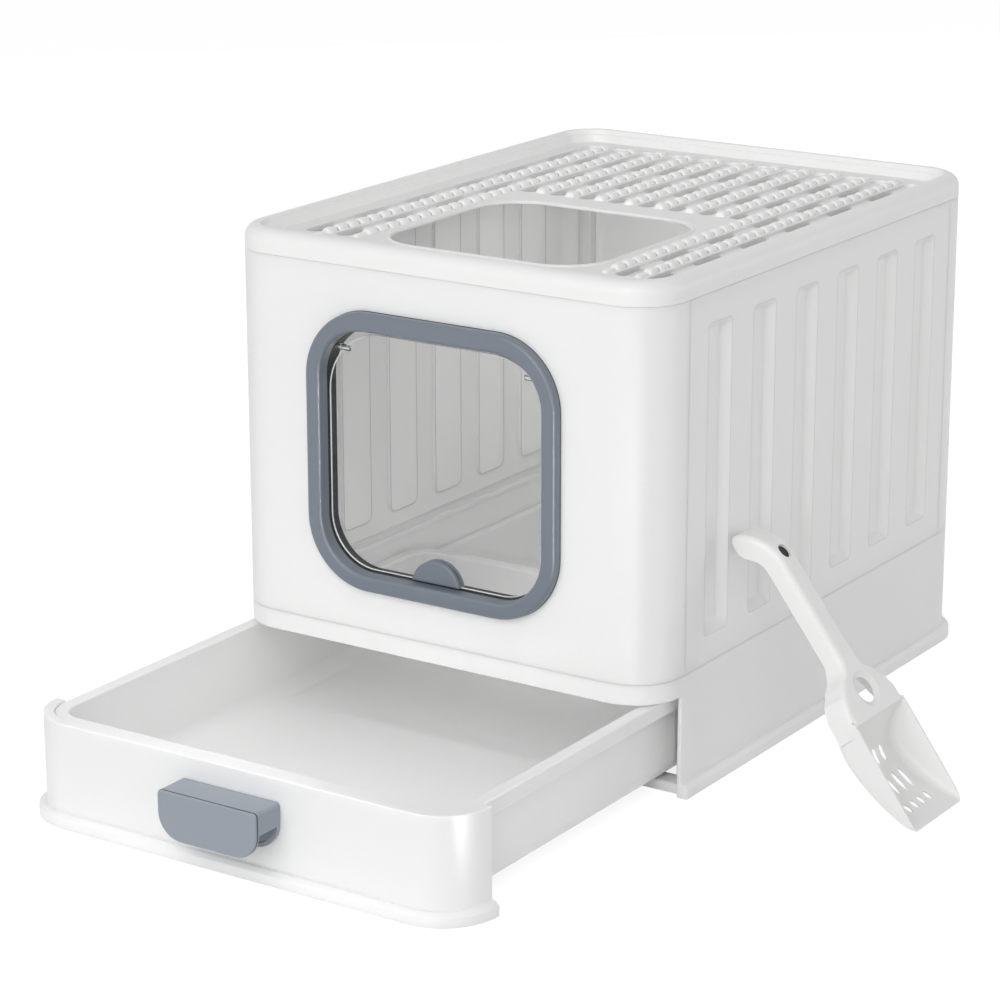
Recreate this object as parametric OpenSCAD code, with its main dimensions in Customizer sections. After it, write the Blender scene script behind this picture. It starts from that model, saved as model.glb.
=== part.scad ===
// Drawer litter box: enclosed cat toilet with a pull-out tray, a clear swing
// flap, a slotted lid with an entry hole, and a scoop that leans on its side.
// Millimetres. X to the right, the front faces -Y, Z up, floor at Z = 0.
// The origin is the centre of the housing's footprint.

/* [Housing] */
// Outside width of the housing walls
body_w = 388; // [360:1:420]
// Outside depth of the housing walls
body_d = 511; // [480:1:560]
// Overall height
body_h = 400; // [380:1:440]
// Outside radius of the four upright corners
corner_r = 40; // [36:1:46]
// Wall thickness of the housing
wall = 3; // [2.5:0.1:3.2]
// Height of the base, up to its seam with the panels
base_h = 96.5; // [94:0.5:104]
// Height of the lid's side band, below the top
lid_band = 18; // [17:0.5:24]
// How far the front and back panels reach round the corners
panel_wrap = 45.5; // [44:0.5:56]
// How far the plinth stands proud of the walls
plinth_proud = 6; // [4:0.5:9]
// Height of the plinth's upright face
plinth_h = 8; // [6:0.5:10]
// Height of the slope above the plinth's upright face
plinth_slope = 3; // [2:0.5:4]

/* [Side grooves] */
// Number of upright grooves in each side panel
groove_n = 6; // [5:1:6]
// Distance from groove to groove
groove_pitch = 66.3; // [62:0.1:70]
// Width of a groove at the surface
groove_w = 34; // [28:0.5:38]
// Depth of a groove
groove_deep = 7.5; // [4:0.5:9]
// Run of a groove's sloped flank
groove_flank = 5; // [3:0.5:7]
// Height of a groove's lower end above the floor
groove_z = 118.5; // [114:0.5:130]
// Distance of a groove's upper end below the lid's seam
groove_top = 23.5; // [20:0.5:34]

/* [Door] */
// Clear width of the door tunnel
door_w = 200; // [180:1:210]
// Distance of the tunnel's roof below the lid's seam
door_top = 45.5; // [40:0.5:60]
// Height of the tunnel's floor above the ground
door_z = 143; // [136:0.5:150]
// Corner radius of the tunnel
door_r = 42; // [38:1:46]
// Width of the bezel's bar
bezel_bar = 13; // [12:0.5:15]
// How far the bezel stands proud of the front panel
bezel_proud = 8; // [6:0.5:9]
// Edge radius of the bezel's bar
bezel_edge = 3; // [2:0.5:3.5]
// Wall thickness of the tunnel
tunnel_wall = 2.5; // [2:0.1:3]
// Thickness of the clear flap
flap_t = 4; // [3:0.5:5]
// Gap between the flap and the tunnel
flap_gap = 1.2; // [1:0.1:2]
// Distance of the hinge axis behind the front face
hinge_back = 6; // [5.5:0.5:7]
// Distance of the hinge axis below the tunnel's roof
hinge_drop = 19.5; // [18:0.5:22]
// Diameter of the steel hinge pins
pin_d = 3.2; // [2.5:0.1:3.6]
// How far each pin reaches in from the tunnel's side
pin_reach = 21; // [18:0.5:24]
// Radius of the half-disc grip
grip_r = 22; // [18:0.5:26]
// Thickness of each grip half
grip_t = 3; // [2.5:0.1:3.2]

/* [Lid] */
// Height of the rim above the deck
rim_h = 11; // [9:0.5:12]
// Width of the rim
rim_w = 12.5; // [12:0.5:15]
// Radius of the lid's outer top edge
rim_round = 10; // [8:0.5:11]
// Thickness of the deck
deck_t = 3; // [2.5:0.1:3.2]
// Width of the entry hole
hole_w = 191; // [170:1:196]
// Length of the entry hole
hole_l = 188; // [170:1:196]
// Distance of the hole's centre in front of the middle
hole_front = 106; // [100:1:110]
// Corner radius of the entry hole
hole_r = 40; // [36:1:50]
// Number of nub rows, an odd number
row_n = 11; // [9:2:11]
// Distance from row to row
row_pitch = 28.1; // [27:0.1:29]
// Width of the channels between the rows
slot_w = 13.6; // [11:0.1:15]
// Depth of the channels between the rows
slot_deep = 5; // [4:0.5:6]
// Spacing of the openings along a channel
vent_pitch = 70; // [64:1:76]
// Length of an opening
vent_len = 42; // [34:1:46]
// Distance from the front face to the channels
channel_front_gap = 58.5; // [54:0.5:64]
// Distance from the rear face to the channels
channel_back_gap = 33.5; // [30:0.5:44]
// Plain strip behind the entry hole
hole_strip = 33; // [28:0.5:38]
// Spacing of the nubs along a row
nub_pitch = 14.4; // [13:0.1:16]
// Radius of a nub
nub_r = 4.8; // [4:0.1:5]

/* [Drawer] */
// Height of the drawer's front, which is also the height of its opening
front_h = 80.2; // [78:0.1:84]
// How far the drawer's front reaches round the corners
front_wrap = 40.7; // [39:0.1:46]
// Gap round the drawer's front
front_gap = 0.6; // [0.4:0.1:1]
// How far the drawer stands open
pull = 253.2; // [0:0.1:300]
// Width of the flange on top of the drawer's front
flange_w = 8.2; // [6:0.1:10]
// Width of the tray's rim
tray_rim = 10.5; // [9:0.5:12]
// Depth of the skirt under the tray's rim
skirt_h = 12; // [10:0.5:14]
// Wall thickness of the tray
tray_wall = 2.5; // [2:0.1:3]
// Radius between the tray's walls and its floor
tray_fillet = 15; // [10:0.5:16]
// Width of the handle
handle_w = 87.4; // [76:0.1:96]
// Height of the handle
handle_h = 36.2; // [32:0.1:40]
// Depth of the handle
handle_d = 28.4; // [24:0.1:32]
// Height of the handle's lower edge above the floor
handle_z = 27; // [24:0.5:30]
// Radius of the handle's lower corners
handle_r = 20; // [14:1:22]

/* [Scoop] */
// How far the scoop reaches out from the side wall
scoop_reach = 177; // [165:1:190]
// Width of the scoop's pan
pan_w = 78; // [70:1:86]
// Width of the scoop's handle at its middle
grip_w = 23; // [20:0.5:27]
// Wall thickness of the scoop
scoop_t = 2.4; // [2:0.1:3]
// Diameter of the hanging hole at the bend of the scoop's handle
hang_d = 11.8; // [8:0.1:14]
// Diameter of the hole in the scoop's neck
neck_hole_d = 18; // [12:0.5:20]

/* [Hidden] */
$fn = 64;
fit = 0.3;
half_w = body_w / 2;
half_d = body_d / 2;
front_y = -half_d;
seam_z = body_h - lid_band;
deck_z = body_h - rim_h;
panel_h = seam_z - base_h - fit;
opening_h = front_h + front_gap;
groove_len = seam_z - groove_top - groove_z;

// How far a cut reaches past what it cuts
past = 50;

// Joints between the panels
tongue_t = 2.4;
tongue_up = 7.5;
tongue_in = wall + 0.2;
ledge_w = 8;
ledge_t = 5;
lap_w = 4.4;
post_w = 20;
post_d = 14;

// Floor sills and moulded drawer runners of the base
sill_h = 8;
sill_w = 18;
sill_back = 47;
brace_w = 24;
runner_t = 3;
runner_w = 11.5;
runner_front = 60;
runner_back = 30;

// Door
door_h = seam_z - door_top - door_z;
door_mid = door_z + door_h / 2;
pin_tip = door_w / 2 - pin_reach;
tunnel_deep = 16;
tunnel_play = 0.2;
screw_spread = 30;
screw_low = 45;
bezel_w = door_w + 2 * bezel_bar;
bezel_h = door_h + 2 * bezel_bar;
bezel_r = door_r + bezel_bar;
retainer_t = 3;
retainer_bar = 16;
hinge_y = front_y + hinge_back;
hinge_z = door_z + door_h - hinge_drop;
flap_w = door_w - 2 * flap_gap;
flap_top = hinge_drop - 6;
flap_bottom = hinge_z - door_z - flap_gap - 0.3;
flap_top_r = door_r + 6;
flap_bottom_r = door_r - flap_gap;
knuckle_l = 10;
knuckle_r = 3.6;
pin_play = 0.06;
pin_over = 1;
screw_r = 1.45;
screw_hole = 1.7;
screw_head_r = 2.8;
screw_head_h = 2;
screw_deep = 4.5;
magnet_w = 20;
magnet_h = 5;
magnet_t = 2;

// Lid
rows = [for (i = [0:row_n - 1]) (i - (row_n - 1) / 2) * row_pitch];
channels = [for (i = [0:row_n]) (i - row_n / 2) * row_pitch];
hole_y = -hole_front;
channel_front = front_y + channel_front_gap;
channel_back = half_d - channel_back_gap;
behind_hole = hole_y + hole_l / 2 + hole_strip;
lip_w = 3;
lip_up = 1.5;
lip_drop = deck_t;
channel_t = 2;
side_clear = hole_w / 2 + lip_w;
vent_y0 = channel_front + vent_len * 0.45;
vent_r = 3;
nub_gap = 1.2;
nub_len = nub_pitch - nub_gap;
tab_r = nub_r * 0.6;

// Drawer, laid out closed and then moved to where it stands
drawer_lift = 0.4;
tray_z = sill_h + fit;
tray_top = front_h - 1;
tray_w = body_w - 2 * (flange_w + fit);
tray_y0 = front_y + flange_w + fit;
tray_y1 = half_d - wall - 8.8;
tray_l = tray_y1 - tray_y0;
tray_mid = (tray_y0 + tray_y1) / 2;
tray_r = corner_r - flange_w - fit;
tub_in = tray_rim - tray_wall;
rib_pitch = body_w * 0.193;
rib_z = 14;
rib_h = 40;
handle_wall = 3;
handle_web = 17;
handle_border = 3;
handle_top_r = 3;
handle_y = front_y;
handle_screw_x = 26;
handle_screw_z = handle_z + handle_h - 9;

// Scoop, in the upright plane where it leans
scoop_y = front_y + body_d * 0.227;
lean = 52.75;
dir_x = cos(lean);
dir_z = -sin(lean);
nrm_x = sin(lean);
nrm_z = cos(lean);
tip_x = half_w + scoop_reach;
pan_deep = pan_w * 0.308;
pan_tip_up = 0.18;
pan_l = pan_w * 1.145;
tip_s = tip_x * dir_x;
neck_s = tip_s - pan_l;
line_n = tip_x * nrm_x + pan_tip_up * pan_deep;
bend_r = 38.8;
bend_s = 5;
hook_r = 25;
channel_d = 16;
hump_d = 4;
hook_d = 3;

// ---- shared shapes ----

module rounded(w, d, r) {
    square([w - 2 * r, d], center = true);
    square([w, d - 2 * r], center = true);
    for (x = [-1, 1], y = [-1, 1]) translate([x * (w / 2 - r), y * (d / 2 - r)]) circle(r);
}

// Outline of the housing, drawn in by a distance
module outline(inset) {
    rounded(body_w - 2 * inset, body_d - 2 * inset, corner_r - inset);
}

module ring(outer, inner, z0, z1) {
    translate([0, 0, z0]) linear_extrude(z1 - z0) difference() {
        outline(outer);
        outline(inner);
    }
}

// A profile carried round a rounded rectangle; the profile's x counts from the corner's centre
module swept(w, d, r) {
    for (k = [[1, 1, 0], [-1, 1, 90], [-1, -1, 180], [1, -1, 270]])
        translate([k[0] * (w / 2 - r), k[1] * (d / 2 - r), 0]) rotate([0, 0, k[2]]) rotate_extrude(angle = 90)
            children();
    for (k = [0, 180]) rotate([0, 0, k]) translate([w / 2 - r, d / 2 - r, 0]) rotate([90, 0, 0])
        linear_extrude(d - 2 * r) children();
    for (k = [90, 270]) rotate([0, 0, k]) translate([d / 2 - r, w / 2 - r, 0]) rotate([90, 0, 0])
        linear_extrude(w - 2 * r) children();
}

// A rounded rectangle standing in the front wall's plane, from depth y0 to y1 behind the front face
module upright(w, h, r, y0, y1) {
    translate([0, front_y + y1, door_mid]) rotate([90, 0, 0]) linear_extrude(y1 - y0) rounded(w, h, r);
}

module front_half(reach) {
    translate([-body_w, front_y - past, -1]) cube([2 * body_w, past + reach, body_h + 2]);
}

module back_half(reach) {
    mirror([0, 1, 0]) front_half(reach);
}

// ---- housing ----

module plinth_profile() {
    polygon([[corner_r - wall, 0], [corner_r + plinth_proud, 0], [corner_r + plinth_proud, plinth_h],
        [corner_r + plinth_proud - plinth_slope, plinth_h + plinth_slope],
        [corner_r - wall, plinth_h + plinth_slope]]);
}

module runner() {
    y0 = front_y + runner_front;
    length = body_d - runner_front - runner_back;
    z0 = tray_top - skirt_h - fit - runner_t;
    translate([half_w - wall - runner_w, y0, z0]) cube([runner_w + 0.5, length, runner_t]);
    translate([half_w - wall - runner_t, y0, z0]) cube([runner_t + 0.5, length, runner_t + skirt_h]);
}

module base_frame() {
    color("whitesmoke") {
        difference() {
            union() {
                ring(0, wall, 0, base_h);
                swept(body_w, body_d, corner_r) plinth_profile();
            }
            translate([-body_w, front_y - past, -1]) cube([2 * body_w, past + front_wrap + fit, opening_h + 1]);
        }
        ring(wall - 0.5, ledge_w, base_h - ledge_t, base_h);
        ring(tongue_in, tongue_in + tongue_t, base_h - ledge_t, base_h + tongue_up);
        intersection() {
            linear_extrude(sill_h) outline(wall - 0.5);
            union() {
                translate([-half_w, front_y + sill_back, 0]) cube([body_w, sill_w, sill_h]);
                translate([-half_w, -brace_w / 2, 0]) cube([body_w, brace_w, sill_h]);
                translate([-half_w, half_d - wall - sill_w, 0]) cube([body_w, sill_w + wall, sill_h]);
            }
        }
        runner();
        mirror([1, 0, 0]) runner();
    }
}

// The wrapped wall that the front and back panels share, with its inner corner posts
module wrapped_wall() {
    intersection() {
        union() {
            ring(0, wall, base_h, base_h + panel_h);
            for (x = [-1, 1]) intersection() {
                translate([x * (half_w - wall - post_w / 2), front_y + wall + post_d / 2,
                    base_h + tongue_up + 1]) translate([-post_w / 2, -post_d / 2, 0])
                    cube([post_w, post_d, panel_h - 2 * tongue_up - 2]);
                linear_extrude(body_h) outline(wall - 0.5);
            }
        }
        front_half(panel_wrap);
    }
}

module retainer_spots() {
    x = door_w / 2 + bezel_bar / 2;
    z = door_h / 2 + bezel_bar / 2;
    side_spots = [for (sx = [-1, 1], sz = [-1, 1]) [sx * x, sz * screw_spread]];
    end_spots = [for (s = [-1, 1]) each [[s * screw_spread, z], [s * screw_low, -z]]];
    for (p = concat(side_spots, end_spots))
        translate([p[0], front_y, door_mid + p[1]]) rotate([-90, 0, 0]) children();
}

// The room that the tunnel needs through the wall and its retainer
module tunnel_hole(y0) {
    grow = tunnel_wall + tunnel_play;
    upright(door_w + 2 * grow, door_h + 2 * grow, door_r + grow, y0, tunnel_deep + 4);
}

module front_panel() {
    color("whitesmoke") difference() {
        wrapped_wall();
        tunnel_hole(-1);
        retainer_spots() translate([0, 0, -1]) cylinder(r = screw_hole, h = wall + 2);
    }
}

module back_panel() {
    color("whitesmoke") mirror([0, 1, 0]) wrapped_wall();
}

groove_y = (panel_wrap - wall) / 2 - panel_wrap / 2 + wall;

module groove_shape(grow, deep) {
    translate([half_w, 0, groove_z - grow]) linear_extrude(groove_len + 2 * grow)
        polygon([[1, -groove_w / 2 - grow - 0.6], [1, groove_w / 2 + grow + 0.6],
            [-deep, groove_w / 2 + grow - groove_flank], [-deep, -groove_w / 2 - grow + groove_flank]]);
}

module side_panel() {
    y0 = front_y + panel_wrap;
    y1 = half_d - panel_wrap;
    difference() {
        union() {
            translate([half_w - wall, y0, base_h]) cube([wall, y1 - y0, panel_h]);
            for (i = [0:groove_n - 1])
                translate([0, (i - (groove_n - 1) / 2) * groove_pitch, 0]) intersection() {
                    groove_shape(wall * 0.8, groove_deep + wall);
                    translate([0, -groove_w, 0]) cube([half_w, 2 * groove_w, body_h]);
                }
            for (y = [y0 - lap_w, y1]) translate([half_w - wall - tongue_t, y, base_h + tongue_up + 1])
                cube([tongue_t, lap_w, panel_h - 2 * tongue_up - 2]);
            for (y = [y0, y1 - 6]) translate([half_w - wall - tongue_t, y, base_h + tongue_up + 1])
                cube([tongue_t + 0.5, 6, panel_h - 2 * tongue_up - 2]);
        }
        for (i = [0:groove_n - 1]) translate([0, (i - (groove_n - 1) / 2) * groove_pitch, 0])
            groove_shape(0, groove_deep);
    }
}

module right_panel() {
    color("gainsboro") side_panel();
}

module left_panel() {
    color("gainsboro") mirror([1, 0, 0]) side_panel();
}

// ---- door ----

module bezel_profile() {
    x0 = door_r;
    x1 = door_r + bezel_bar;
    e = bezel_edge;
    translate([x0, 0]) square([bezel_bar, bezel_proud - e]);
    translate([x0 + e, 0]) square([bezel_bar - 2 * e, bezel_proud]);
    for (x = [x0 + e, x1 - e]) translate([x, bezel_proud - e]) circle(e);
    translate([x0, -tunnel_deep]) square([tunnel_wall, tunnel_deep + 1]);
}

module pin_axis(x) {
    translate([x, hinge_y, hinge_z]) rotate([0, 90, 0]) children();
}

module door_bezel() {
    color("slategray") {
        difference() {
            translate([0, front_y, door_mid]) rotate([90, 0, 0])
                swept(bezel_w, bezel_h, bezel_r) bezel_profile();
            for (s = [-1, 1]) pin_axis(0) translate([0, 0, s > 0 ? pin_tip : -pin_tip - past])
                cylinder(d = pin_d, h = past);
            retainer_spots() translate([0, 0, -screw_deep - 0.5])
                cylinder(r = screw_r + 0.05, h = screw_deep + 1);
            translate([-magnet_w / 2 - 0.1, front_y - magnet_t - 1, door_z - magnet_h - 4])
                cube([magnet_w + 0.2, magnet_t + 1.1, magnet_h + 0.2]);
        }
    }
}

module door_retainer() {
    color("slategray") difference() {
        upright(bezel_w + 2, bezel_h + 2, bezel_r + 1, wall, wall + retainer_t);
        tunnel_hole(0);
        retainer_spots() cylinder(r = screw_hole, h = 20);
        for (s = [-1, 1]) translate([s * (door_w / 2 - 4), front_y + wall + retainer_t / 2, hinge_z])
            cube([2 * pin_over + 8, 2 * retainer_t, pin_d + 0.3], center = true);
    }
}

module retainer_screws() {
    color("silver") retainer_spots() {
        translate([0, 0, -screw_deep]) cylinder(r = screw_r, h = screw_deep + wall + retainer_t + 0.5);
        translate([0, 0, wall + retainer_t]) cylinder(r = screw_head_r, h = screw_head_h);
    }
}

module flap_pin(side) {
    length = door_w / 2 + pin_over - 0.5 - pin_tip;
    color("silver") pin_axis(side * (pin_tip + length / 2)) translate([0, 0, -length / 2])
        cylinder(d = pin_d, h = length);
}

module flap_pin_left() {
    flap_pin(-1);
}

module flap_pin_right() {
    flap_pin(1);
}

module frame_magnet() {
    color("dimgray") translate([-magnet_w / 2, front_y - magnet_t, door_z - magnet_h - 3.9])
        cube([magnet_w, magnet_t, magnet_h]);
}

module flap_outline() {
    h = flap_top + flap_bottom;
    top = flap_top - flap_top_r;
    low = -flap_bottom + flap_bottom_r;
    for (s = [-1, 1]) {
        translate([s * (flap_w / 2 - flap_top_r), top]) circle(flap_top_r);
        translate([s * (flap_w / 2 - flap_bottom_r), low]) circle(flap_bottom_r);
    }
    translate([-flap_w / 2 + flap_top_r, low]) square([flap_w - 2 * flap_top_r, flap_top - low]);
    translate([-flap_w / 2 + flap_bottom_r, -flap_bottom]) square([flap_w - 2 * flap_bottom_r, h - flap_top_r]);
    translate([-flap_w / 2, low]) square([flap_w, top - low]);
}

module flap() {
    color("lightblue", 0.4) difference() {
        union() {
            translate([0, hinge_y + flap_t / 2, hinge_z]) rotate([90, 0, 0])
                linear_extrude(flap_t) flap_outline();
            for (s = [-1, 1]) pin_axis(s * (pin_tip + knuckle_l / 2)) translate([0, 0, -knuckle_l / 2])
                cylinder(r = knuckle_r, h = knuckle_l - 1);
        }
        pin_axis(0) for (z = [pin_tip - 1, 1 - pin_tip - past]) translate([0, 0, z])
            cylinder(d = pin_d + 2 * pin_play, h = past);
    }
}

module grip_half(y) {
    flap_low = hinge_z - flap_bottom;
    intersection() {
        translate([0, y + grip_t, flap_low - 4]) rotate([90, 0, 0]) cylinder(r = grip_r, h = grip_t);
        translate([-grip_r, y, flap_low]) cube([2 * grip_r, grip_t, grip_r]);
    }
}

module flap_grip_front() {
    color("slategray") difference() {
        grip_half(hinge_y - flap_t / 2 - grip_t);
        translate([-magnet_w / 2 - 0.1, hinge_y - flap_t / 2 - magnet_t, hinge_z - flap_bottom + 1])
            cube([magnet_w + 0.2, magnet_t + 1, magnet_h + 0.2]);
    }
}

module flap_grip_back() {
    color("slategray") grip_half(hinge_y + flap_t / 2);
}

module flap_magnet() {
    color("dimgray") translate([-magnet_w / 2, hinge_y - flap_t / 2 - magnet_t, hinge_z - flap_bottom + 1])
        cube([magnet_w, magnet_t, magnet_h]);
}

// ---- lid ----

module rim_profile() {
    x1 = corner_r;
    x0 = corner_r - rim_w;
    translate([x1 - wall, seam_z]) square([wall, body_h - rim_round - seam_z]);
    difference() {
        translate([x0, deck_z - deck_t]) square([rim_w, body_h - deck_z + deck_t]);
        difference() {
            translate([x1 - rim_round, body_h - rim_round]) square(rim_round + 1);
            translate([x1 - rim_round, body_h - rim_round]) circle(rim_round);
        }
        translate([x0 + deck_t, seam_z - 1]) square([rim_w - deck_t - wall, body_h - rim_round - seam_z]);
    }
    translate([x1 - wall - fit - tongue_t, seam_z - tongue_up]) square([tongue_t, tongue_up + deck_z - seam_z]);
}

function long_row(x) = abs(x) - slot_w / 2 > side_clear;
function row_start(x) = long_row(x) ? channel_front : behind_hole;

module channel(x) {
    y0 = row_start(x);
    w = slot_w + 2 * channel_t;
    translate([x, (y0 + channel_back) / 2, deck_z - slot_deep - channel_t])
        linear_extrude(slot_deep + channel_t) rounded(w, channel_back - y0 + 2 * channel_t, w / 2 - 0.1);
}

module channel_cut(x) {
    y0 = row_start(x);
    translate([x, (y0 + channel_back) / 2, deck_z - slot_deep])
        linear_extrude(slot_deep + 1) rounded(slot_w, channel_back - y0, slot_w / 2 - 0.1);
    for (y = [vent_y0:vent_pitch:channel_back - vent_len / 2]) if (y + vent_len / 4 > y0) {
        low = max(y - vent_len / 2, y0 + channel_t);
        high = y + vent_len / 2;
        translate([x, (low + high) / 2, deck_z - slot_deep - channel_t - 1])
            linear_extrude(slot_deep + channel_t + 2) rounded(slot_w - 0.4, high - low, vent_r);
    }
}

module nub(x, y, r) {
    translate([x, y + nub_len, deck_z]) rotate([90, 0, 0]) cylinder(r = r, h = nub_len, $fn = 24);
}

module nub_row(x) {
    y0 = row_start(x) + (long_row(x) && x != rows[0] ? nub_pitch : 0);
    for (y = [y0:nub_pitch:channel_back - nub_len]) nub(x, y, nub_r);
    if (long_row(x)) nub(x, y0 - nub_pitch, tab_r);
}

module lid() {
    color("whitesmoke") difference() {
        union() {
            difference() {
                union() {
                    swept(body_w, body_d, corner_r) rim_profile();
                    translate([0, 0, deck_z - deck_t]) linear_extrude(deck_t) outline(rim_w - 0.5);
                    for (x = channels) channel(x);
                    translate([0, hole_y, deck_z - lip_drop]) linear_extrude(lip_drop + lip_up)
                        rounded(hole_w + 2 * lip_w, hole_l + 2 * lip_w, hole_r + lip_w);
                }
                for (x = channels) channel_cut(x);
            }
            intersection() {
                for (x = rows) nub_row(x);
                translate([-body_w, -body_d, deck_z - 1]) cube([2 * body_w, 2 * body_d, 20]);
            }
        }
        translate([0, hole_y, deck_z - 20]) linear_extrude(40) rounded(hole_w, hole_l, hole_r);
    }
}

// ---- drawer ----

module drawer_place() {
    translate([0, -pull, 0]) children();
}

module drawer_front() {
    color("white") drawer_place() difference() {
        intersection() {
            union() {
                ring(0, wall, drawer_lift, front_h);
                ring(0, flange_w, front_h - wall, front_h);
                difference() {
                    swept(body_w, body_d, corner_r) plinth_profile();
                    translate([-body_w, -body_d, -1]) cube([2 * body_w, 2 * body_d, 1 + drawer_lift]);
                }
                for (k = [-2, -1, 1, 2]) translate([k * rib_pitch - wall / 2, front_y + 1, rib_z])
                    cube([wall, tray_y0 + tub_in - front_y - 1, rib_h]);
            }
            front_half(front_wrap);
        }
        for (s = [-1, 1]) translate([s * handle_screw_x, front_y - 1, handle_screw_z]) rotate([-90, 0, 0])
            cylinder(r = screw_hole, h = wall + 2);
    }
}

module tray_profile() {
    xo = tray_r - tub_in;
    xi = xo - tray_wall;
    zi = tray_z + tray_wall;
    fi = tray_fillet - tray_wall;
    translate([xi, tray_z + tray_fillet]) square([tray_wall, tray_top - tray_z - tray_fillet]);
    translate([xi, tray_top - tray_wall]) square([tray_rim, tray_wall]);
    translate([tray_r - tray_wall, tray_top - skirt_h]) square([tray_wall, skirt_h]);
    translate([xo - tray_fillet, tray_z + tray_fillet]) difference() {
        circle(tray_fillet);
        circle(fi);
        translate([-2 * tray_fillet, -2 * tray_fillet]) square([2 * tray_fillet, 4 * tray_fillet]);
        translate([-1, 0]) square([2 * tray_fillet, 2 * tray_fillet]);
    }
    translate([0, tray_z]) square([xo - tray_fillet + 0.01, zi - tray_z]);
}

module litter_tray() {
    color("gainsboro") drawer_place() translate([0, tray_mid, 0]) {
        swept(tray_w, tray_l, tray_r) tray_profile();
        translate([0, 0, tray_z]) linear_extrude(tray_wall) {
            square([tray_w - 2 * tray_r + 1, tray_l - 2 * tray_r + 1], center = true);
        }
    }
}

module handle_face(inset) {
    w = handle_w - 2 * inset;
    h = handle_h - 2 * inset;
    r = handle_r - inset;
    rt = handle_top_r;
    translate([-w / 2, inset + r]) square([w, h - r - rt]);
    translate([-w / 2 + r, inset]) square([w - 2 * r, h - rt]);
    translate([-w / 2 + rt, inset + r]) square([w - 2 * rt, h - r]);
    for (s = [-1, 1]) {
        translate([s * (w / 2 - r), inset + r]) circle(r);
        translate([s * (w / 2 - rt), inset + h - rt]) circle(rt);
    }
}

module handle_slab(y0, y1, inset) {
    translate([0, handle_y - y0, handle_z]) rotate([90, 0, 0]) linear_extrude(y1 - y0) handle_face(inset);
}

module drawer_handle() {
    web_z = handle_z + handle_h - handle_web;
    color("slategray") drawer_place() difference() {
        union() {
            handle_slab(0, handle_wall + 1, 0);
            handle_slab(handle_d - handle_wall - 1, handle_d, 0);
            intersection() {
                handle_slab(0, handle_d, 0);
                translate([-handle_w, handle_y - handle_d, web_z]) cube([2 * handle_w, handle_d, handle_web]);
            }
        }
        intersection() {
            handle_slab(handle_wall + 1, handle_d - handle_wall - 1, handle_wall);
            translate([-handle_w, handle_y - handle_d, 0]) cube([2 * handle_w, handle_d, body_h]);
        }
        translate([-handle_w / 2 + handle_wall, handle_y - handle_d + handle_wall + 1, web_z - 1])
            cube([handle_w - 2 * handle_wall, handle_d - 2 * handle_wall - 2, 4]);
        handle_slab(handle_wall - 1, handle_wall + 2, handle_border);
        for (s = [-1, 1]) translate([s * handle_screw_x, handle_y + 0.5, handle_screw_z]) rotate([90, 0, 0])
            cylinder(r = screw_r + 0.05, h = 10);
    }
}

module handle_screws() {
    color("silver") drawer_place() for (s = [-1, 1])
        translate([s * handle_screw_x, front_y + wall, handle_screw_z]) rotate([90, 0, 0]) {
            cylinder(r = screw_r, h = wall + handle_wall + 1.5);
            translate([0, 0, -screw_head_h]) cylinder(r = screw_head_r, h = screw_head_h);
        }
}

// ---- scoop ----

// A point of the upright plane from its distance along the lean and square to it
function lean_xz(s, n) = [s * dir_x + n * nrm_x, s * dir_z + n * nrm_z];
function smooth(t) = t <= 0 ? 0 : t >= 1 ? 1 : t * t * (3 - 2 * t);

// The handle's top line: a small arc to its tip, the bend and the straight shank
bend_at = lean_xz(bend_s, line_n - bend_r);
function bend_point(a, r) = bend_at + r * [sin(a), cos(a)];
hook_at = bend_at + [0, bend_r - hook_r];
function hook_point(a, r) = hook_at + r * [-sin(a), cos(a)];
hook_turn = asin((hook_at[0] - half_w) / hook_r);
function hook_depth(i) = channel_d - hook_d + (hook_d + hump_d) * smooth(i / 6);
function bend_depth(i) = channel_d + hump_d - hump_d * smooth(i / 10);
function top_line(t) = concat(
    [for (i = [0:6]) hook_point(hook_turn * (1 - i / 6), hook_r - t)],
    [for (i = [1:10]) bend_point(lean * i / 10, bend_r - t)],
    [lean_xz(neck_s * 0.7, line_n - t), lean_xz(neck_s, line_n - 2 - t)]);
function low_line(t) = concat(
    [for (i = [0:6]) hook_point(hook_turn * (1 - i / 6), hook_r - hook_depth(i)) - [0, t]],
    [for (i = [1:10]) bend_point(lean * i / 10, bend_r - bend_depth(i)) - [0, t]],
    [lean_xz(neck_s * 0.7, line_n - channel_d - t), lean_xz(neck_s - 2, line_n - channel_d - 5 - t)]);

module handle_side(top, low) {
    upper = top_line(top);
    lower = low_line(low);
    n = len(lower);
    polygon(concat(upper, [for (i = [n - 1:-1:0]) lower[i]]));
}

// Half width of the scoop as seen from above, at shares of its reach
half_pan = pan_w / 2;
half_grip = grip_w / 2;
neck_step = (half_pan - half_grip) / 8;
plan_points = [for (k = [[0, half_grip + neck_step * 0.6], [0.017, half_grip + neck_step],
    [0.057, half_grip + neck_step], [0.114, half_grip + neck_step * 0.45], [0.18, half_grip + neck_step * 0.1],
    [0.25, half_grip], [0.53, half_grip], [0.565, half_grip + neck_step * 0.4],
    [0.605, half_grip + neck_step * 1.4],
    [0.64, half_grip + neck_step * 3], [0.675, half_pan - neck_step * 3], [0.71, half_pan - neck_step * 1.8],
    [0.765, half_pan - neck_step * 0.75], [0.83, half_pan - neck_step * 0.2], [0.9, half_pan], [1.2, half_pan]])
    [half_w + k[0] * scoop_reach, k[1]]];

module plan_shape(inset, back) {
    n = len(plan_points);
    linear_extrude(body_h) polygon(concat(
        [for (p = plan_points) [p[0] + (p[0] < half_w + scoop_t * 2 ? back : 0), p[1] - inset]],
        [for (i = [n - 1:-1:0]) let (p = plan_points[i])
            [p[0] + (p[0] < half_w + scoop_t * 2 ? back : 0), inset - p[1]]]));
}

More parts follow.
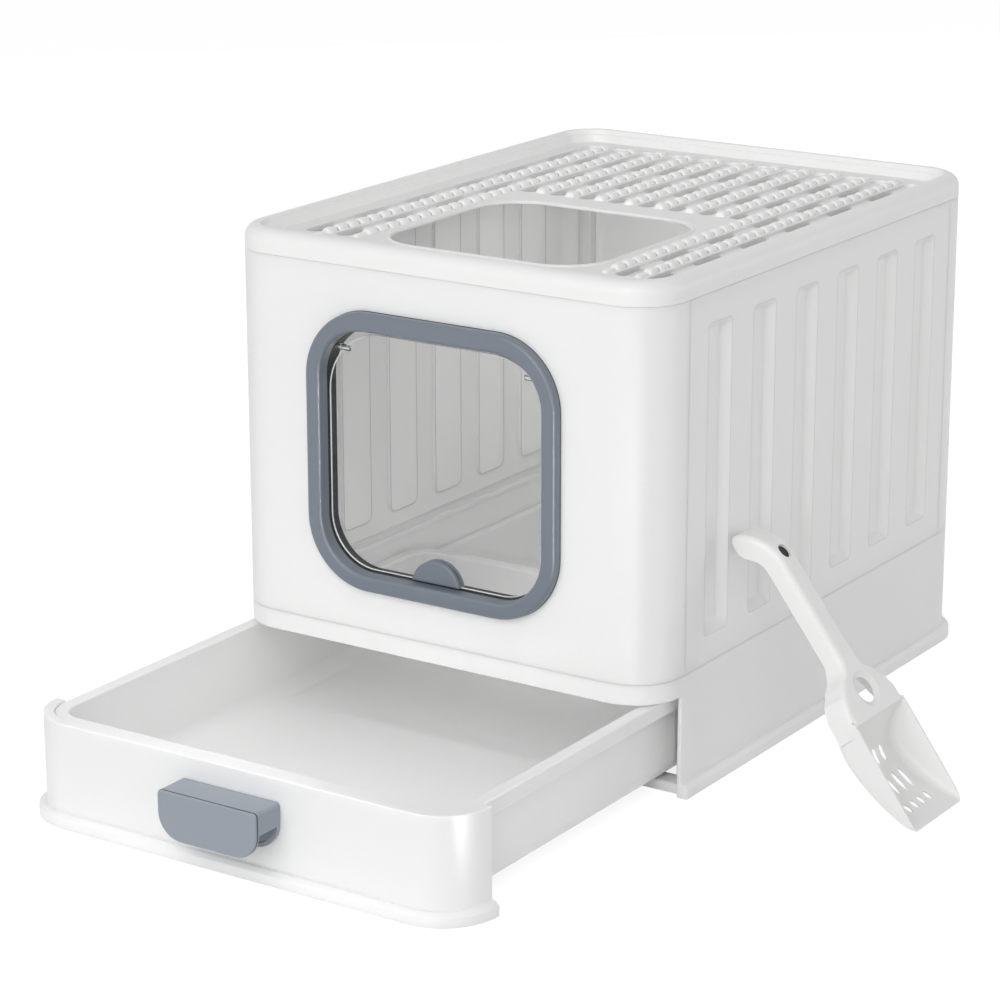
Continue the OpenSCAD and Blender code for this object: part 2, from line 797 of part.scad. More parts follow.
// Side outlines of the pan: shares of its length against shares of its depth
function pan_at(k) = [neck_s + k[0] * pan_l, line_n - k[1] * pan_deep];
pan_outer = [for (k = [[-0.09, 0.79], [0.02, 0.92], [0.157, 1.04], [0.258, 1.083], [0.38, 1.058], [0.57, 0.896],
    [0.717, 0.667], [0.852, 0.408], [1, pan_tip_up], [0.966, 0.155], [0.796, 0.13], [0.57, 0.11], [0.348, 0.09],
    [0.18, 0.075], [0.09, 0.065], [0, 0.062], [-0.09, 0.062]]) pan_at(k)];
pan_inner = [for (k = [[0.017, 0.042], [0.056, 0.333], [0.112, 0.708], [0.18, 0.896], [0.258, 0.975],
    [0.38, 0.95], [0.57, 0.788], [0.717, 0.558], [0.852, 0.3], [0.983, 0.15], [1.07, -0.25], [0.017, -0.25]])
    pan_at(k)];

module side_extrude() {
    translate([0, scoop_y + pan_w, 0]) rotate([90, 0, 0]) linear_extrude(2 * pan_w) children();
}

// Rows of slots in the pan: place along it, slot length and how many
slot_rows = [[0.32, 13, 2], [0.597, 17.5, 3], [0.815, 8, 4]];
slot_space = pan_w * 0.136;
slot_wide = 4.6;

module pan_slots() {
    for (r = slot_rows, i = [0:r[2] - 1]) {
        q = lean_xz(neck_s + r[0] * pan_l, line_n - pan_deep * 1.4);
        translate([q[0], scoop_y + (i - (r[2] - 1) / 2) * slot_space, q[1]]) rotate([0, lean, 0])
            linear_extrude(pan_deep * 1.4) rounded(r[1], slot_wide, slot_wide / 2 - 0.1);
    }
}

module scoop_shape() {
    hole_a = lean * 0.84;
    p = bend_point(hole_a, bend_r);
    q = lean_xz(neck_s * 0.86, line_n);
    color("white") difference() {
        union() {
            difference() {
                intersection() {
                    side_extrude() handle_side(0, 0);
                    translate([0, scoop_y, 0]) plan_shape(0, 0);
                }
                intersection() {
                    side_extrude() handle_side(scoop_t, 12);
                    translate([0, scoop_y, 0]) plan_shape(scoop_t, scoop_t);
                }
            }
            difference() {
                intersection() {
                    side_extrude() polygon([for (k = pan_outer) lean_xz(k[0], k[1])]);
                    translate([0, scoop_y, 0]) plan_shape(0, 0);
                }
                intersection() {
                    side_extrude() polygon([for (k = pan_inner) lean_xz(k[0], k[1])]);
                    translate([0, scoop_y, 0]) plan_shape(scoop_t, 0);
                }
            }
        }
        translate([p[0], scoop_y, p[1]]) rotate([0, hole_a, 0]) translate([0, 0, -9])
            cylinder(d = hang_d, h = 20);
        translate([q[0], scoop_y, q[1]]) rotate([0, lean, 0]) translate([0, 0, -10])
            cylinder(d = neck_hole_d, h = 20);
        pan_slots();
    }
}

module scoop() {
    translate([fit, 0, 0]) scoop_shape();
}

base_frame();
front_panel();
back_panel();
left_panel();
right_panel();
door_bezel();
door_retainer();
retainer_screws();
flap_pin_left();
flap_pin_right();
frame_magnet();
flap();
flap_grip_front();
flap_grip_back();
flap_magnet();
lid();
litter_tray();
drawer_front();
drawer_handle();
handle_screws();
scoop();
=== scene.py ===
import math

import bmesh
import bpy
from mathutils import Matrix, Vector


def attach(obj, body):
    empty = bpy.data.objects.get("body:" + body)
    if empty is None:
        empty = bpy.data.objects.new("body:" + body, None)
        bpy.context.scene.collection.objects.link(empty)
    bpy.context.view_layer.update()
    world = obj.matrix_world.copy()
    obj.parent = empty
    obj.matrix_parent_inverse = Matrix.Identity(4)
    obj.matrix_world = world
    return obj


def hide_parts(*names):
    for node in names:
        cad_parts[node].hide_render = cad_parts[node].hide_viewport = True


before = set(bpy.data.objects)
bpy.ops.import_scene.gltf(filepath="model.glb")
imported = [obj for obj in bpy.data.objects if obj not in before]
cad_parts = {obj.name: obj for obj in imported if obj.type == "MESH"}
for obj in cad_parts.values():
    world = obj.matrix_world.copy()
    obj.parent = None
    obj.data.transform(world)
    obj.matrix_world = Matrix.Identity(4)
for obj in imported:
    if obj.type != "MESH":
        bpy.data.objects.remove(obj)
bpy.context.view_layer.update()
scene = bpy.context.scene

# ---- sizes in millimetres, as in the CAD source ----
# But the flap and its knuckles are thinner here, its grip thicker and the channels shallower

BODY_W, BODY_D, BODY_H = 388.0, 511.0, 400.0
CORNER_R = 40.0
WALL = 3.0
HALF_W, HALF_D = BODY_W / 2, BODY_D / 2
FRONT_Y = -HALF_D
BASE_H = 96.5
SEAM_Z = BODY_H - 18
PANEL_TOP = SEAM_Z - 0.15
PANEL_WRAP = 45.5
PLINTH_PROUD, PLINTH_H, PLINTH_SLOPE = 6.0, 8.0, 3.0
FIT = 0.3
# How far a piece is sunk into its neighbour, and how far a cut reaches past what it cuts
SINK, PAST = 0.5, 40.0

# Inside the housing: the base's tongue and ledge, the corner posts, the floor sills and the runners
TONGUE_OUT, TONGUE_IN, TONGUE_UP, LEDGE_W, LEDGE_T = 3.2, 5.6, 7.5, 8.0, 5.0
POST_W, POST_D, POST_Z0, POST_Z1 = 20.0, 14.0, BASE_H + 8.5, PANEL_TOP - 8.5
SILL_H, SILL_W, SILL_BACK, BRACE_W = 8.0, 18.0, 47.0, 24.0
RUNNER_W, RUNNER_FRONT, RUNNER_BACK = 11.5, 60.0, 30.0

GROOVE_N, GROOVE_PITCH, GROOVE_W, GROOVE_DEEP, GROOVE_R = 6, 66.3, 34.0, 7.5, 4.5
GROOVE_Z0, GROOVE_Z1 = 118.5, SEAM_Z - 23.5
GROOVES = [(i - (GROOVE_N - 1) / 2) * GROOVE_PITCH for i in range(GROOVE_N)]
# Behind the grooves: how deep the lining and the ribs reach, and a rib's outline
LINING_Z0, LINING_DEEP, LINING_EDGE, RIB_DEEP, RIB_EDGE = BASE_H + 8, 8.5, 0.5, 10.5, 0.6
RIB_HALF, RIB_OVER, RIB_R = 20.5, 1.0, 8.0

DOOR_W, DOOR_Z0, DOOR_Z1, DOOR_R = 200.0, 143.0, SEAM_Z - 45.5, 42.0
DOOR_H, DOOR_MID = DOOR_Z1 - DOOR_Z0, (DOOR_Z0 + DOOR_Z1) / 2
BEZEL_BAR, BEZEL_PROUD, BEZEL_EDGE, TOP_DROP = 13.0, 8.0, 3.0, 1.8
TUNNEL_WALL, TUNNEL_DEEP, TUNNEL_PLAY = 2.5, 16.0, 0.2
HINGE_Y, HINGE_Z = FRONT_Y + 6, DOOR_Z1 - 19.5
FLAP_T, FLAP_GAP = 2.0, 1.2
FLAP_LOW, FLAP_HIGH = DOOR_Z0 + 1.5, HINGE_Z + 13.5
PIN_TIP, PIN_R, PIN_PLAY = DOOR_W / 2 - 21, 1.6, 0.06
KNUCKLE_L, KNUCKLE_R = 9.0, 2.5
GRIP_R, GRIP_T, GRIP_EDGE, GRIP_SINK = 22.0, 4.0, 1.2, 4.0

RIM_H, RIM_W, RIM_ROUND = 11.0, 12.5, 10.0
DECK_Z, DECK_T = BODY_H - RIM_H, 3.0
LAP_OUT, LAP_IN, LAP_DOWN = 3.3, 5.7, 7.5
HOLE_W, HOLE_L, HOLE_Y, HOLE_R = 191.0, 188.0, -106.0, 40.0
LIP_W, LIP_UP, LIP_DROP, LIP_THIN, LIP_ROUND, UNDERCUT = 3.0, 1.5, 3.0, 0.9, 1.4, 10.0
ROW_N, ROW_PITCH = 11, 28.1
SLOT_W, SLOT_DEEP, TROUGH_WALL = 13.6, 2.4, 2.0
VENT_N, VENT_PITCH, VENT_LEN, VENT_R = 6, 70.0, 42.0, 3.0
CHANNEL_Y0, CHANNEL_Y1 = FRONT_Y + 58.5, HALF_D - 33.5
BEHIND_HOLE = HOLE_Y + HOLE_L / 2 + 33
NUB_PITCH, NUB_R, NUB_GAP, NUB_SINK, SMALL_NUB = 14.4, 4.8, 1.4, 0.8, 0.68

FRONT_H, FRONT_WRAP, FRONT_GAP, FLANGE_W = 80.2, 40.7, 0.6, 8.2
PULL = 253.2
DRAWER_Z0 = 0.4
TRAY_Z, TRAY_TOP, TRAY_RIM, TRAY_WALL, TRAY_FILLET, SKIRT_H = 8.3, 79.2, 10.5, 2.5, 15.0, 12.0
TRAY_W, TRAY_R = BODY_W - 2 * (FLANGE_W + FIT), CORNER_R - FLANGE_W - FIT
TRAY_Y0, TRAY_Y1 = FRONT_Y + FLANGE_W + FIT - PULL, HALF_D - WALL - 8.8 - PULL
HANDLE_W, HANDLE_H, HANDLE_D, HANDLE_Z, HANDLE_R = 87.4, 36.2, 28.4, 27.0, 20.0

# The scoop leans against the right wall; places along it count from its tip, heights from its top line
SCOOP_Y, SCOOP_T, SCOOP_TIP_X = -139.5, 2.4, HALF_W + 177.3
LEAN = math.radians(52.75)
LEAN_DIR = Vector((math.cos(LEAN), -math.sin(LEAN)))
LEAN_UP = Vector((math.sin(LEAN), math.cos(LEAN)))
TIP_DROP = 4.32
TOP_LINE = SCOOP_TIP_X * LEAN_UP.x + TIP_DROP
BEND_R, BEND_S, HOOK_R = 38.8, 5.3, 25.0
BEND = LEAN_DIR * BEND_S + LEAN_UP * (TOP_LINE - BEND_R)
# Its holes: the hanging hole, at a share of the bend, and the neck's, in a hollow cut by a ball
HANG_R, HANG_SHARE, NECK_HOLE_S, NECK_HOLE_R = 5.9, 0.8, -107, 9.2
DISH_S, DISH_HIGH, DISH_R = -108, 20.5, 26.0

MM = 0.001


# ---- outlines and surfaces ----

def smooth(t):
    """0 to 1 with level ends."""
    t = min(max(t, 0.0), 1.0)
    return t * t * (3 - 2 * t)


def arc(cx, cy, r, start, end, steps):
    """Points on an arc, angles in degrees."""
    turn = [math.radians(start + (end - start) * i / steps) for i in range(steps + 1)]
    return [(cx + r * math.cos(a), cy + r * math.sin(a)) for a in turn]


def circle(r, steps):
    """Points round a circle about the origin."""
    return [(r * math.cos(a), r * math.sin(a)) for a in (2 * math.pi * k / steps for k in range(steps))]


def filleted(corners, steps):
    """A closed outline from (x, y, radius) corners, each rounded by its radius."""
    out = []
    count = len(corners)
    for i, (x, y, r) in enumerate(corners):
        here = Vector((x, y))
        if r <= 0:
            out.append((x, y))
            continue
        a = (Vector(corners[i - 1][:2]) - here).normalized()
        b = (Vector(corners[(i + 1) % count][:2]) - here).normalized()
        half = a.angle(b) / 2
        centre = here + (a + b).normalized() * (r / math.sin(half))
        start = here + a * (r / math.tan(half)) - centre
        end = here + b * (r / math.tan(half)) - centre
        turn = start.angle_signed(end)
        for k in range(steps + 1):
            p = start.copy()
            p.rotate(Matrix.Rotation(-turn * k / steps, 2))
            out.append(tuple(centre + p))
    return out


def box_loop(x0, x1, y0, y1, radii, steps):
    """Points round a box, anticlockwise, with radii at (x1, y0), (x1, y1), (x0, y1) and (x0, y0)."""
    out = []
    corners = ((x1, y0, -1, 1, -90), (x1, y1, -1, -1, 0), (x0, y1, 1, -1, 90), (x0, y0, 1, 1, 180))
    for (x, y, sx, sy, a), r in zip(corners, radii):
        out += arc(x + sx * r, y + sy * r, r, a, a + 90, steps)
    return out


def ring_stations(w, d, r, steps=12):
    """Places (x, y) and outward directions round a rounded rectangle."""
    out = []
    for sx, sy, a0 in ((1, 1, 0), (-1, 1, 90), (-1, -1, 180), (1, -1, 270)):
        for k in range(steps + 1):
            a = math.radians(a0 + 90 * k / steps)
            nx, ny = math.cos(a), math.sin(a)
            out.append((sx * (w / 2 - r) + r * nx, sy * (d / 2 - r) + r * ny, nx, ny))
    return out


def loop_stations(points):
    """Stations along any anticlockwise outline."""
    out = []
    for i, here in enumerate(points):
        run = Vector(points[(i + 1) % len(points)]) - Vector(points[i - 1])
        run.normalize()
        out.append((*here, run.y, -run.x))
    return out


def wrap_stations(reach):
    """Stations of the front wall, carried round both corners and back by reach."""
    bend = [s for s in ring_stations(BODY_W, BODY_D, CORNER_R) if s[1] < FRONT_Y + CORNER_R + 0.001]
    ends = FRONT_Y + reach
    return [(-HALF_W, ends, -1.0, 0.0), *bend, (HALF_W, ends, 1.0, 0.0)]


def turned(stations):
    """Stations turned half round, for the rear wall."""
    return [(-x, -y, -nx, -ny) for x, y, nx, ny in stations]


def band(a, b, count):
    """The faces between two loops of count vertices that start at a and b."""
    return [(a + k, a + (k + 1) % count, b + (k + 1) % count, b + k) for k in range(count)]


def caps(count, total):
    """The faces that close the first and the last loop of count vertices."""
    return [tuple(range(count)), tuple(range(total - count, total))]


def swept(stations, profile, closed=True):
    """Vertices and faces of a closed profile of (outward, up) carried along stations."""
    count = len(profile)
    verts = [(x + o * nx, y + o * ny, z) for x, y, nx, ny in stations for o, z in profile]
    last = len(stations) if closed else len(stations) - 1
    faces = [f for i in range(last) for f in band(i * count, (i + 1) % len(stations) * count, count)]
    return verts, faces if closed else faces + caps(count, len(verts))


def lofted(loops):
    """Vertices and faces of loops of equal length joined one to the next and closed by flat ends."""
    count = len(loops[0])
    verts = [p for loop in loops for p in loop]
    faces = [f for i in range(len(loops) - 1) for f in band(i * count, (i + 1) * count, count)]
    return verts, faces + caps(count, len(verts))


def round_levels(z0, z1, low, high, steps=4):
    """Heights and insets of a slab with rounded lower and upper edges."""
    levels = [(z0, 0.0)]
    if low > 0:
        levels = [(z0 + low + dz, low + di) for di, dz in arc(0, 0, low, 270, 180, steps)]
    if high > 0:
        return levels + [(z1 - high + dz, high - di) for di, dz in arc(0, 0, high, 0, 90, steps)]
    return [*levels, (z1, 0.0)]


def slab(x0, x1, y0, y1, radii, levels, steps):
    """A rounded box whose loops follow (height, inset) levels."""
    loops = []
    for z, i in levels:
        rs = [max(r - i, 0.05) for r in radii]
        loops.append([(x, y, z) for x, y in box_loop(x0 + i, x1 - i, y0 + i, y1 - i, rs, steps)])
    return lofted(loops)


def strip(a0, a1, b0, b1):
    """A rectangular profile, from its limits outward and up."""
    return [(a0, b0), (a1, b0), (a1, b1), (a0, b1)]


def box(x0, x1, y0, y1, z0, z1):
    return lofted([[(x, y, z) for x, y in strip(x0, x1, y0, y1)] for z in (z0, z1)])


def joined(parts):
    """Several (vertices, faces) as one."""
    verts, faces = [], []
    for v, f in parts:
        faces += [tuple(k + len(verts) for k in face) for face in f]
        verts += v
    return verts, faces


def moved(part, place):
    """The same faces with every vertex put through place."""
    return [place(*p) for p in part[0]], part[1]


def standing(x, y, z):
    """From a drawing of the front wall, depth to the front as its height, to the frame."""
    return x, FRONT_Y - z, y


# ---- objects ----

def mesh_object(name, part):
    """An object from millimetre vertices, with its faces turned outward."""
    mesh = bpy.data.meshes.new(name)
    bm = bmesh.new()
    verts = [bm.verts.new(Vector(p) * MM) for p in part[0]]
    for face in part[1]:
        bm.faces.new([verts[k] for k in face])
    bmesh.ops.recalc_face_normals(bm, faces=bm.faces)
    bm.to_mesh(mesh)
    bm.free()
    obj = bpy.data.objects.new(name, mesh)
    scene.collection.objects.link(obj)
    return obj


def carved(obj, part, operation="DIFFERENCE"):
    """Applies one exact boolean with the shape part."""
    tool = mesh_object("tool", part)
    step = obj.modifiers.new("carve", "BOOLEAN")
    step.operation = operation
    step.solver = "EXACT"
    step.object = tool
    graph = bpy.context.evaluated_depsgraph_get()
    result = bpy.data.meshes.new_from_object(obj.evaluated_get(graph))
    obj.modifiers.clear()
    obj.data = result
    bpy.data.objects.remove(tool)


def finished(obj, material, body, nodes=(), bevel=0.0, angle=32):
    """Smooth shading with sharp edges kept, fine rounded edges, material, and the body it rides on."""
    mesh = obj.data
    mesh.materials.clear()
    mesh.materials.append(material)
    mesh.polygons.foreach_set("use_smooth", [True] * len(mesh.polygons))
    mesh.set_sharp_from_angle(angle=math.radians(angle))
    if bevel:
        edge = obj.modifiers.new("edges", "BEVEL")
        edge.width = bevel * MM
        edge.segments = 2
        edge.limit_method = "ANGLE"
        edge.angle_limit = math.radians(angle)
        edge.harden_normals = True
    even = obj.modifiers.new("normals", "WEIGHTED_NORMAL")
    even.keep_sharp = True
    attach(obj, body)
    if nodes:
        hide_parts(*nodes)


def from_cad(node, name, material, body, bevel):
    """A copy of a CAD node's mesh with its hard edges eased."""
    obj = bpy.data.objects.new(name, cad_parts[node].data.copy())
    scene.collection.objects.link(obj)
    bm = bmesh.new()
    bm.from_mesh(obj.data)
    bmesh.ops.remove_doubles(bm, verts=bm.verts, dist=0.02 * MM)
    bmesh.ops.dissolve_limit(bm, angle_limit=math.radians(1), verts=bm.verts, edges=bm.edges)
    bm.to_mesh(obj.data)
    bm.free()
    finished(obj, material, body, [node], bevel)


# ---- materials ----

def new_material(name):
    """A material with its nodes, its links and its main shader."""
    mat = bpy.data.materials.new(name)
    mat.use_nodes = True
    tree = mat.node_tree
    return mat, tree.nodes, tree.links, tree.nodes["Principled BSDF"]


def set_inputs(node, **values):
    """The node, with inputs set by their names, written with _ for a space."""
    for key, value in values.items():
        node.inputs[key.replace("_", " ")].default_value = value
    return node


def plastic(name, colour, rough, bump=0.02, speck=0.012, glow=0.0, **sockets):
    """Moulded plastic with a slight cloud, uneven gloss and a fine grain; light sinks glow mm into it."""
    mat, nodes, links, shader = new_material(name)
    set_inputs(shader, **sockets)
    if glow:
        set_inputs(shader, Subsurface_Weight=0.6, Subsurface_Radius=(1, 1, 1), Subsurface_Scale=glow * MM)
    place = nodes.new("ShaderNodeTexCoord")
    cloud = set_inputs(nodes.new("ShaderNodeTexNoise"), Scale=9.0, Detail=3.0)
    links.new(place.outputs["Object"], cloud.inputs["Vector"])
    tint = nodes.new("ShaderNodeMix")
    tint.data_type = "RGBA"
    darker, lighter = ([min(c * share, 1) for c in colour] for share in (1 - speck, 1 + speck))
    set_inputs(tint, A=(*darker, 1), B=(*lighter, 1))
    links.new(cloud.outputs["Fac"], tint.inputs["Factor"])
    links.new(tint.outputs["Result"], shader.inputs["Base Color"])
    gloss = set_inputs(nodes.new("ShaderNodeMapRange"), To_Min=rough - 0.03, To_Max=rough + 0.03)
    links.new(cloud.outputs["Fac"], gloss.inputs["Value"])
    links.new(gloss.outputs["Result"], shader.inputs["Roughness"])
    grains = set_inputs(nodes.new("ShaderNodeTexNoise"), Scale=900.0, Detail=2.0)
    links.new(place.outputs["Object"], grains.inputs["Vector"])
    relief = set_inputs(nodes.new("ShaderNodeBump"), Strength=bump, Distance=0.0002)
    links.new(grains.outputs["Fac"], relief.inputs["Height"])
    links.new(relief.outputs["Normal"], shader.inputs["Normal"])
    return mat


def metal(name, colour, rough):
    """Drawn steel, with fine lines along the piece."""
    mat, nodes, links, shader = new_material(name)
    set_inputs(shader, Base_Color=(*colour, 1), Metallic=1.0)
    place = nodes.new("ShaderNodeTexCoord")
    stretch = set_inputs(nodes.new("ShaderNodeMapping"), Scale=(40, 900, 900))
    lines = set_inputs(nodes.new("ShaderNodeTexNoise"), Scale=3.0)
    gloss = set_inputs(nodes.new("ShaderNodeMapRange"), To_Min=rough - 0.08, To_Max=rough + 0.08)
    links.new(place.outputs["Object"], stretch.inputs["Vector"])
    links.new(stretch.outputs["Vector"], lines.inputs["Vector"])
    links.new(lines.outputs["Fac"], gloss.inputs["Value"])
    links.new(gloss.outputs["Result"], shader.inputs["Roughness"])
    return mat


def clear_plastic(name):
    """Clear acrylic with a faint grey tint and a slightly uneven polish. Its shadow is pale."""
    mat, nodes, links, shader = new_material(name)
    set_inputs(shader, Base_Color=(0.985, 0.988, 0.985, 1), Transmission_Weight=1.0, IOR=1.45)
    place = nodes.new("ShaderNodeTexCoord")
    cloud = set_inputs(nodes.new("ShaderNodeTexNoise"), Scale=14.0)
    polish = set_inputs(nodes.new("ShaderNodeMapRange"), To_Min=0.0, To_Max=0.03)
    links.new(place.outputs["Object"], cloud.inputs["Vector"])
    links.new(cloud.outputs["Fac"], polish.inputs["Value"])
    links.new(polish.outputs["Result"], shader.inputs["Roughness"])
    through = set_inputs(nodes.new("ShaderNodeBsdfTransparent"), Color=(0.92, 0.92, 0.92, 1))
    path = nodes.new("ShaderNodeLightPath")
    mix = nodes.new("ShaderNodeMixShader")
    links.new(path.outputs["Is Shadow Ray"], mix.inputs["Fac"])
    links.new(shader.outputs["BSDF"], mix.inputs[1])
    links.new(through.outputs["BSDF"], mix.inputs[2])
    links.new(mix.outputs["Shader"], nodes["Material Output"].inputs["Surface"])
    return mat


WHITE = plastic("white_plastic", (0.925, 0.925, 0.92), 0.38, glow=4.0)
LID_WHITE = plastic("lid_white_plastic", (0.905, 0.905, 0.9), 0.38)
FRONT_WHITE = plastic("front_white_plastic", (0.93, 0.93, 0.925), 0.38, glow=4.0)
PANEL_WHITE = plastic("panel_white_plastic", (0.92, 0.92, 0.915), 0.40, glow=4.0)
TRAY_WHITE = plastic("tray_white_plastic", (0.93, 0.93, 0.925), 0.36, glow=4.0)
SCOOP_WHITE = plastic("scoop_white_plastic", (0.9, 0.9, 0.895), 0.34)
BLUE_GREY = plastic("blue_grey_plastic", (0.157, 0.187, 0.227), 0.3, bump=0.03, speck=0.02,
                    Specular_IOR_Level=0.7)
HANDLE_GREY = plastic("handle_grey_plastic", (0.28, 0.316, 0.362), 0.32, bump=0.03, speck=0.02)
# Near-black for thin rings that are painted shade, at the bezel's foot and round the handle's front plate
PAINTED_SHADOW_DARK = plastic("painted_shadow_dark", (0.035, 0.042, 0.052), 0.5)
# Grey for painted shade, in the creases round the ribs and in the gaps between the lid's nubs
PAINTED_SHADE_GREY = plastic("painted_shade_grey", (0.55, 0.55, 0.545), 0.5)
# Light grey for the painted shade line round each groove's mouth
PAINTED_EDGE_SHADE_GREY = plastic("painted_edge_shade_grey", (0.72, 0.72, 0.715), 0.5)
# A darker copy of the lid's white, painted shade for the recessed deck
DECK_SHADED_WHITE = plastic("deck_painted_shade_white", (0.88, 0.88, 0.875), 0.40)
# A lighter copy of the lid's white, painted light on the nubs' tops
NUB_LIT_WHITE = plastic("nub_painted_light_white", (0.97, 0.97, 0.965), 0.34)
# White for the ring that is the pane edge's painted highlight
PAINTED_HIGHLIGHT_WHITE = plastic("flap_edge_highlight_white", (0.9, 0.9, 0.9), 0.3)
# Black for pieces that are painted shade, in the door's tunnel and under the scoop's hanging hole
PAINTED_SHADE_BLACK = plastic("painted_shade_black", (0.012, 0.012, 0.012), 0.5)
STEEL = metal("steel", (0.62, 0.62, 0.61), 0.28)
MAGNET = metal("magnet_nickel", (0.2, 0.2, 0.21), 0.45)
CLEAR = clear_plastic("clear_acrylic")


# ---- housing ----

def plinth_points():
    """The outer foot of the walls, from the floor up."""
    return [(PLINTH_PROUD, 0, 0.6), (PLINTH_PROUD, PLINTH_H, 1.6),
            (PLINTH_PROUD - PLINTH_SLOPE, PLINTH_H + PLINTH_SLOPE, 1.2), (0, PLINTH_H + PLINTH_SLOPE, 1.4)]


def base_frame():
    """The ring of plinth, wall, ledge and tongue, open at the front for the drawer."""
    tongue_top = BASE_H + TONGUE_UP
    profile = filleted([
        *plinth_points(), (0, BASE_H, 0.15), (-TONGUE_OUT, BASE_H, 0), (-TONGUE_OUT, tongue_top, 0.6),
        (-TONGUE_IN, tongue_top, 0.6), (-TONGUE_IN, BASE_H, 0), (-LEDGE_W, BASE_H, 0.6),
        (-LEDGE_W, BASE_H - LEDGE_T, 0.6), (-WALL, BASE_H - LEDGE_T, 0.6), (-WALL, 0, 0.5)], 3)
    base = mesh_object("base_shell", swept(ring_stations(BODY_W, BODY_D, CORNER_R), profile))
    carved(base, box(-HALF_W - PAST, HALF_W + PAST, FRONT_Y - PAST, FRONT_Y + FRONT_WRAP + FIT, -PAST,
                     FRONT_H + FRONT_GAP))
    finished(base, WHITE, "housing", ["base_frame"], 0.5)


def base_sills():
    """Three bars across the floor, the rear one shorter to stay inside the corners' curve."""
    reach = HALF_W - WALL + SINK
    bars = [(FRONT_Y + SILL_BACK, FRONT_Y + SILL_BACK + SILL_W, reach), (-BRACE_W / 2, BRACE_W / 2, reach),
            (HALF_D - WALL - SILL_W, HALF_D - WALL + SINK, reach - CORNER_R + SILL_W)]
    sills = [box(-side, side, y0, y1, 0, SILL_H) for y0, y1, side in bars]
    finished(mesh_object("base_sills", joined(sills)), WHITE, "housing", bevel=0.8)


def drawer_runners():
    """On each side a runner under the tray's skirt, and a thinner wall up to the ledge."""
    rails = []
    y0, y1 = FRONT_Y + RUNNER_FRONT, HALF_D - RUNNER_BACK
    top = TRAY_TOP - SKIRT_H - FIT
    for s in (-1, 1):
        outer = s * (HALF_W - WALL + FIT)
        lower = sorted((s * (HALF_W - WALL - RUNNER_W), outer))
        upper = sorted((s * (HALF_W - LEDGE_W + 0.1), outer))
        rails.append(box(*lower, y0, y1, SILL_H + 0.2, top))
        rails.append(box(*upper, y0, y1, top, BASE_H - LEDGE_T + 0.4))
    finished(mesh_object("drawer_runners", joined(rails)), WHITE, "housing", bevel=0.5)


def wall_posts():
    """The posts inside both corners of a wrapped wall, each cut to the corner's curve."""
    posts = []
    inner = CORNER_R - WALL + SINK
    cx, cy = HALF_W - CORNER_R, FRONT_Y + CORNER_R
    x0, y1 = HALF_W - WALL - POST_W, FRONT_Y + WALL + POST_D
    start = math.degrees(math.asin((y1 - cy) / inner))
    end = -math.degrees(math.acos((x0 - cx) / inner))
    curve = arc(cx, cy, inner, start, end, 8)
    for s in (1, -1):
        outline = [(s * x, y) for x, y in [*curve, (x0, y1)]]
        posts.append(lofted([[(x, y, z) for x, y in outline] for z in (POST_Z0, POST_Z1)]))
    return posts


def wrapped_wall(name, stations, posts, node, material, hole=None):
    """A wall carried round two corners, with its posts and perhaps a hole."""
    profile = filleted([(0, BASE_H, 0.15), (0, PANEL_TOP, 0.2), (-WALL, PANEL_TOP, 0.4),
                        (-WALL, BASE_H, 0.4)], 3)
    wall = mesh_object(name, swept(stations, profile, closed=False))
    if hole:
        carved(wall, hole)
    finished(wall, material, "housing", [node], 0.5)
    finished(mesh_object(name + "_posts", joined(posts)), material, "housing", bevel=0.6)


def front_panel():
    grow = TUNNEL_WALL + TUNNEL_PLAY
    half = DOOR_W / 2 + grow
    hole = slab(-half, half, DOOR_Z0 - grow, DOOR_Z1 + grow, [DOOR_R + grow] * 4, [(-20, 0), (5, 0)], 12)
    wrapped_wall("front_wall", wrap_stations(PANEL_WRAP), wall_posts(), "front_panel", FRONT_WHITE,
                 moved(hole, standing))


def back_panel():
    posts = [moved(p, lambda x, y, z: (-x, -y, z)) for p in wall_posts()]
    wrapped_wall("back_wall", turned(wrap_stations(PANEL_WRAP)), posts, "back_panel", PANEL_WHITE)


# The flank of a groove: shares of its run against shares of its depth
FLANK = [(0, 0), (0.03, 0.02), (0.07, 0.07), (0.4, 0.5), (0.72, 0.88), (0.82, 0.95), (0.92, 0.99), (1, 1)]
RUN_REAR, RUN_FRONT, RUN_END = 6.0, 2.5, 8.0


def groove(centre):
    """The space of one groove in the right side, its rear flank long and hollow, its front one short."""
    y0, y1 = centre - GROOVE_W / 2, centre + GROOVE_W / 2
    loops = []
    for run, depth in [(0, -2 / GROOVE_DEEP), *FLANK]:
        low, high = GROOVE_Z0 + RUN_END * run, GROOVE_Z1 - RUN_END * run
        loop = box_loop(y0 + RUN_FRONT * run, y1 - RUN_REAR * run, low, high, [GROOVE_R - 1.5 * run] * 4, 5)
        loops.append([(HALF_W - GROOVE_DEEP * depth, y, z) for y, z in loop])
    return lofted(loops)


def painted_shade_outlines(name, material, half, over, r, steps, profile, place):
    """A thin line of painted shade round each groove's outline, its height over the wall turned into x by
    place.
    """
    lines = []
    for c in GROOVES:
        outline = box_loop(c - half, c + half, GROOVE_Z0 - over, GROOVE_Z1 + over, [r] * 4, steps)
        lines.append(moved(swept(loop_stations(outline), profile), lambda y, z, d: (place(d), y, z)))
    finished(mesh_object(name, joined(lines)), material, "housing")


def from_side(y, z, x):
    """From a drawing of the side wall, its height as x, to the frame."""
    return x, y, z


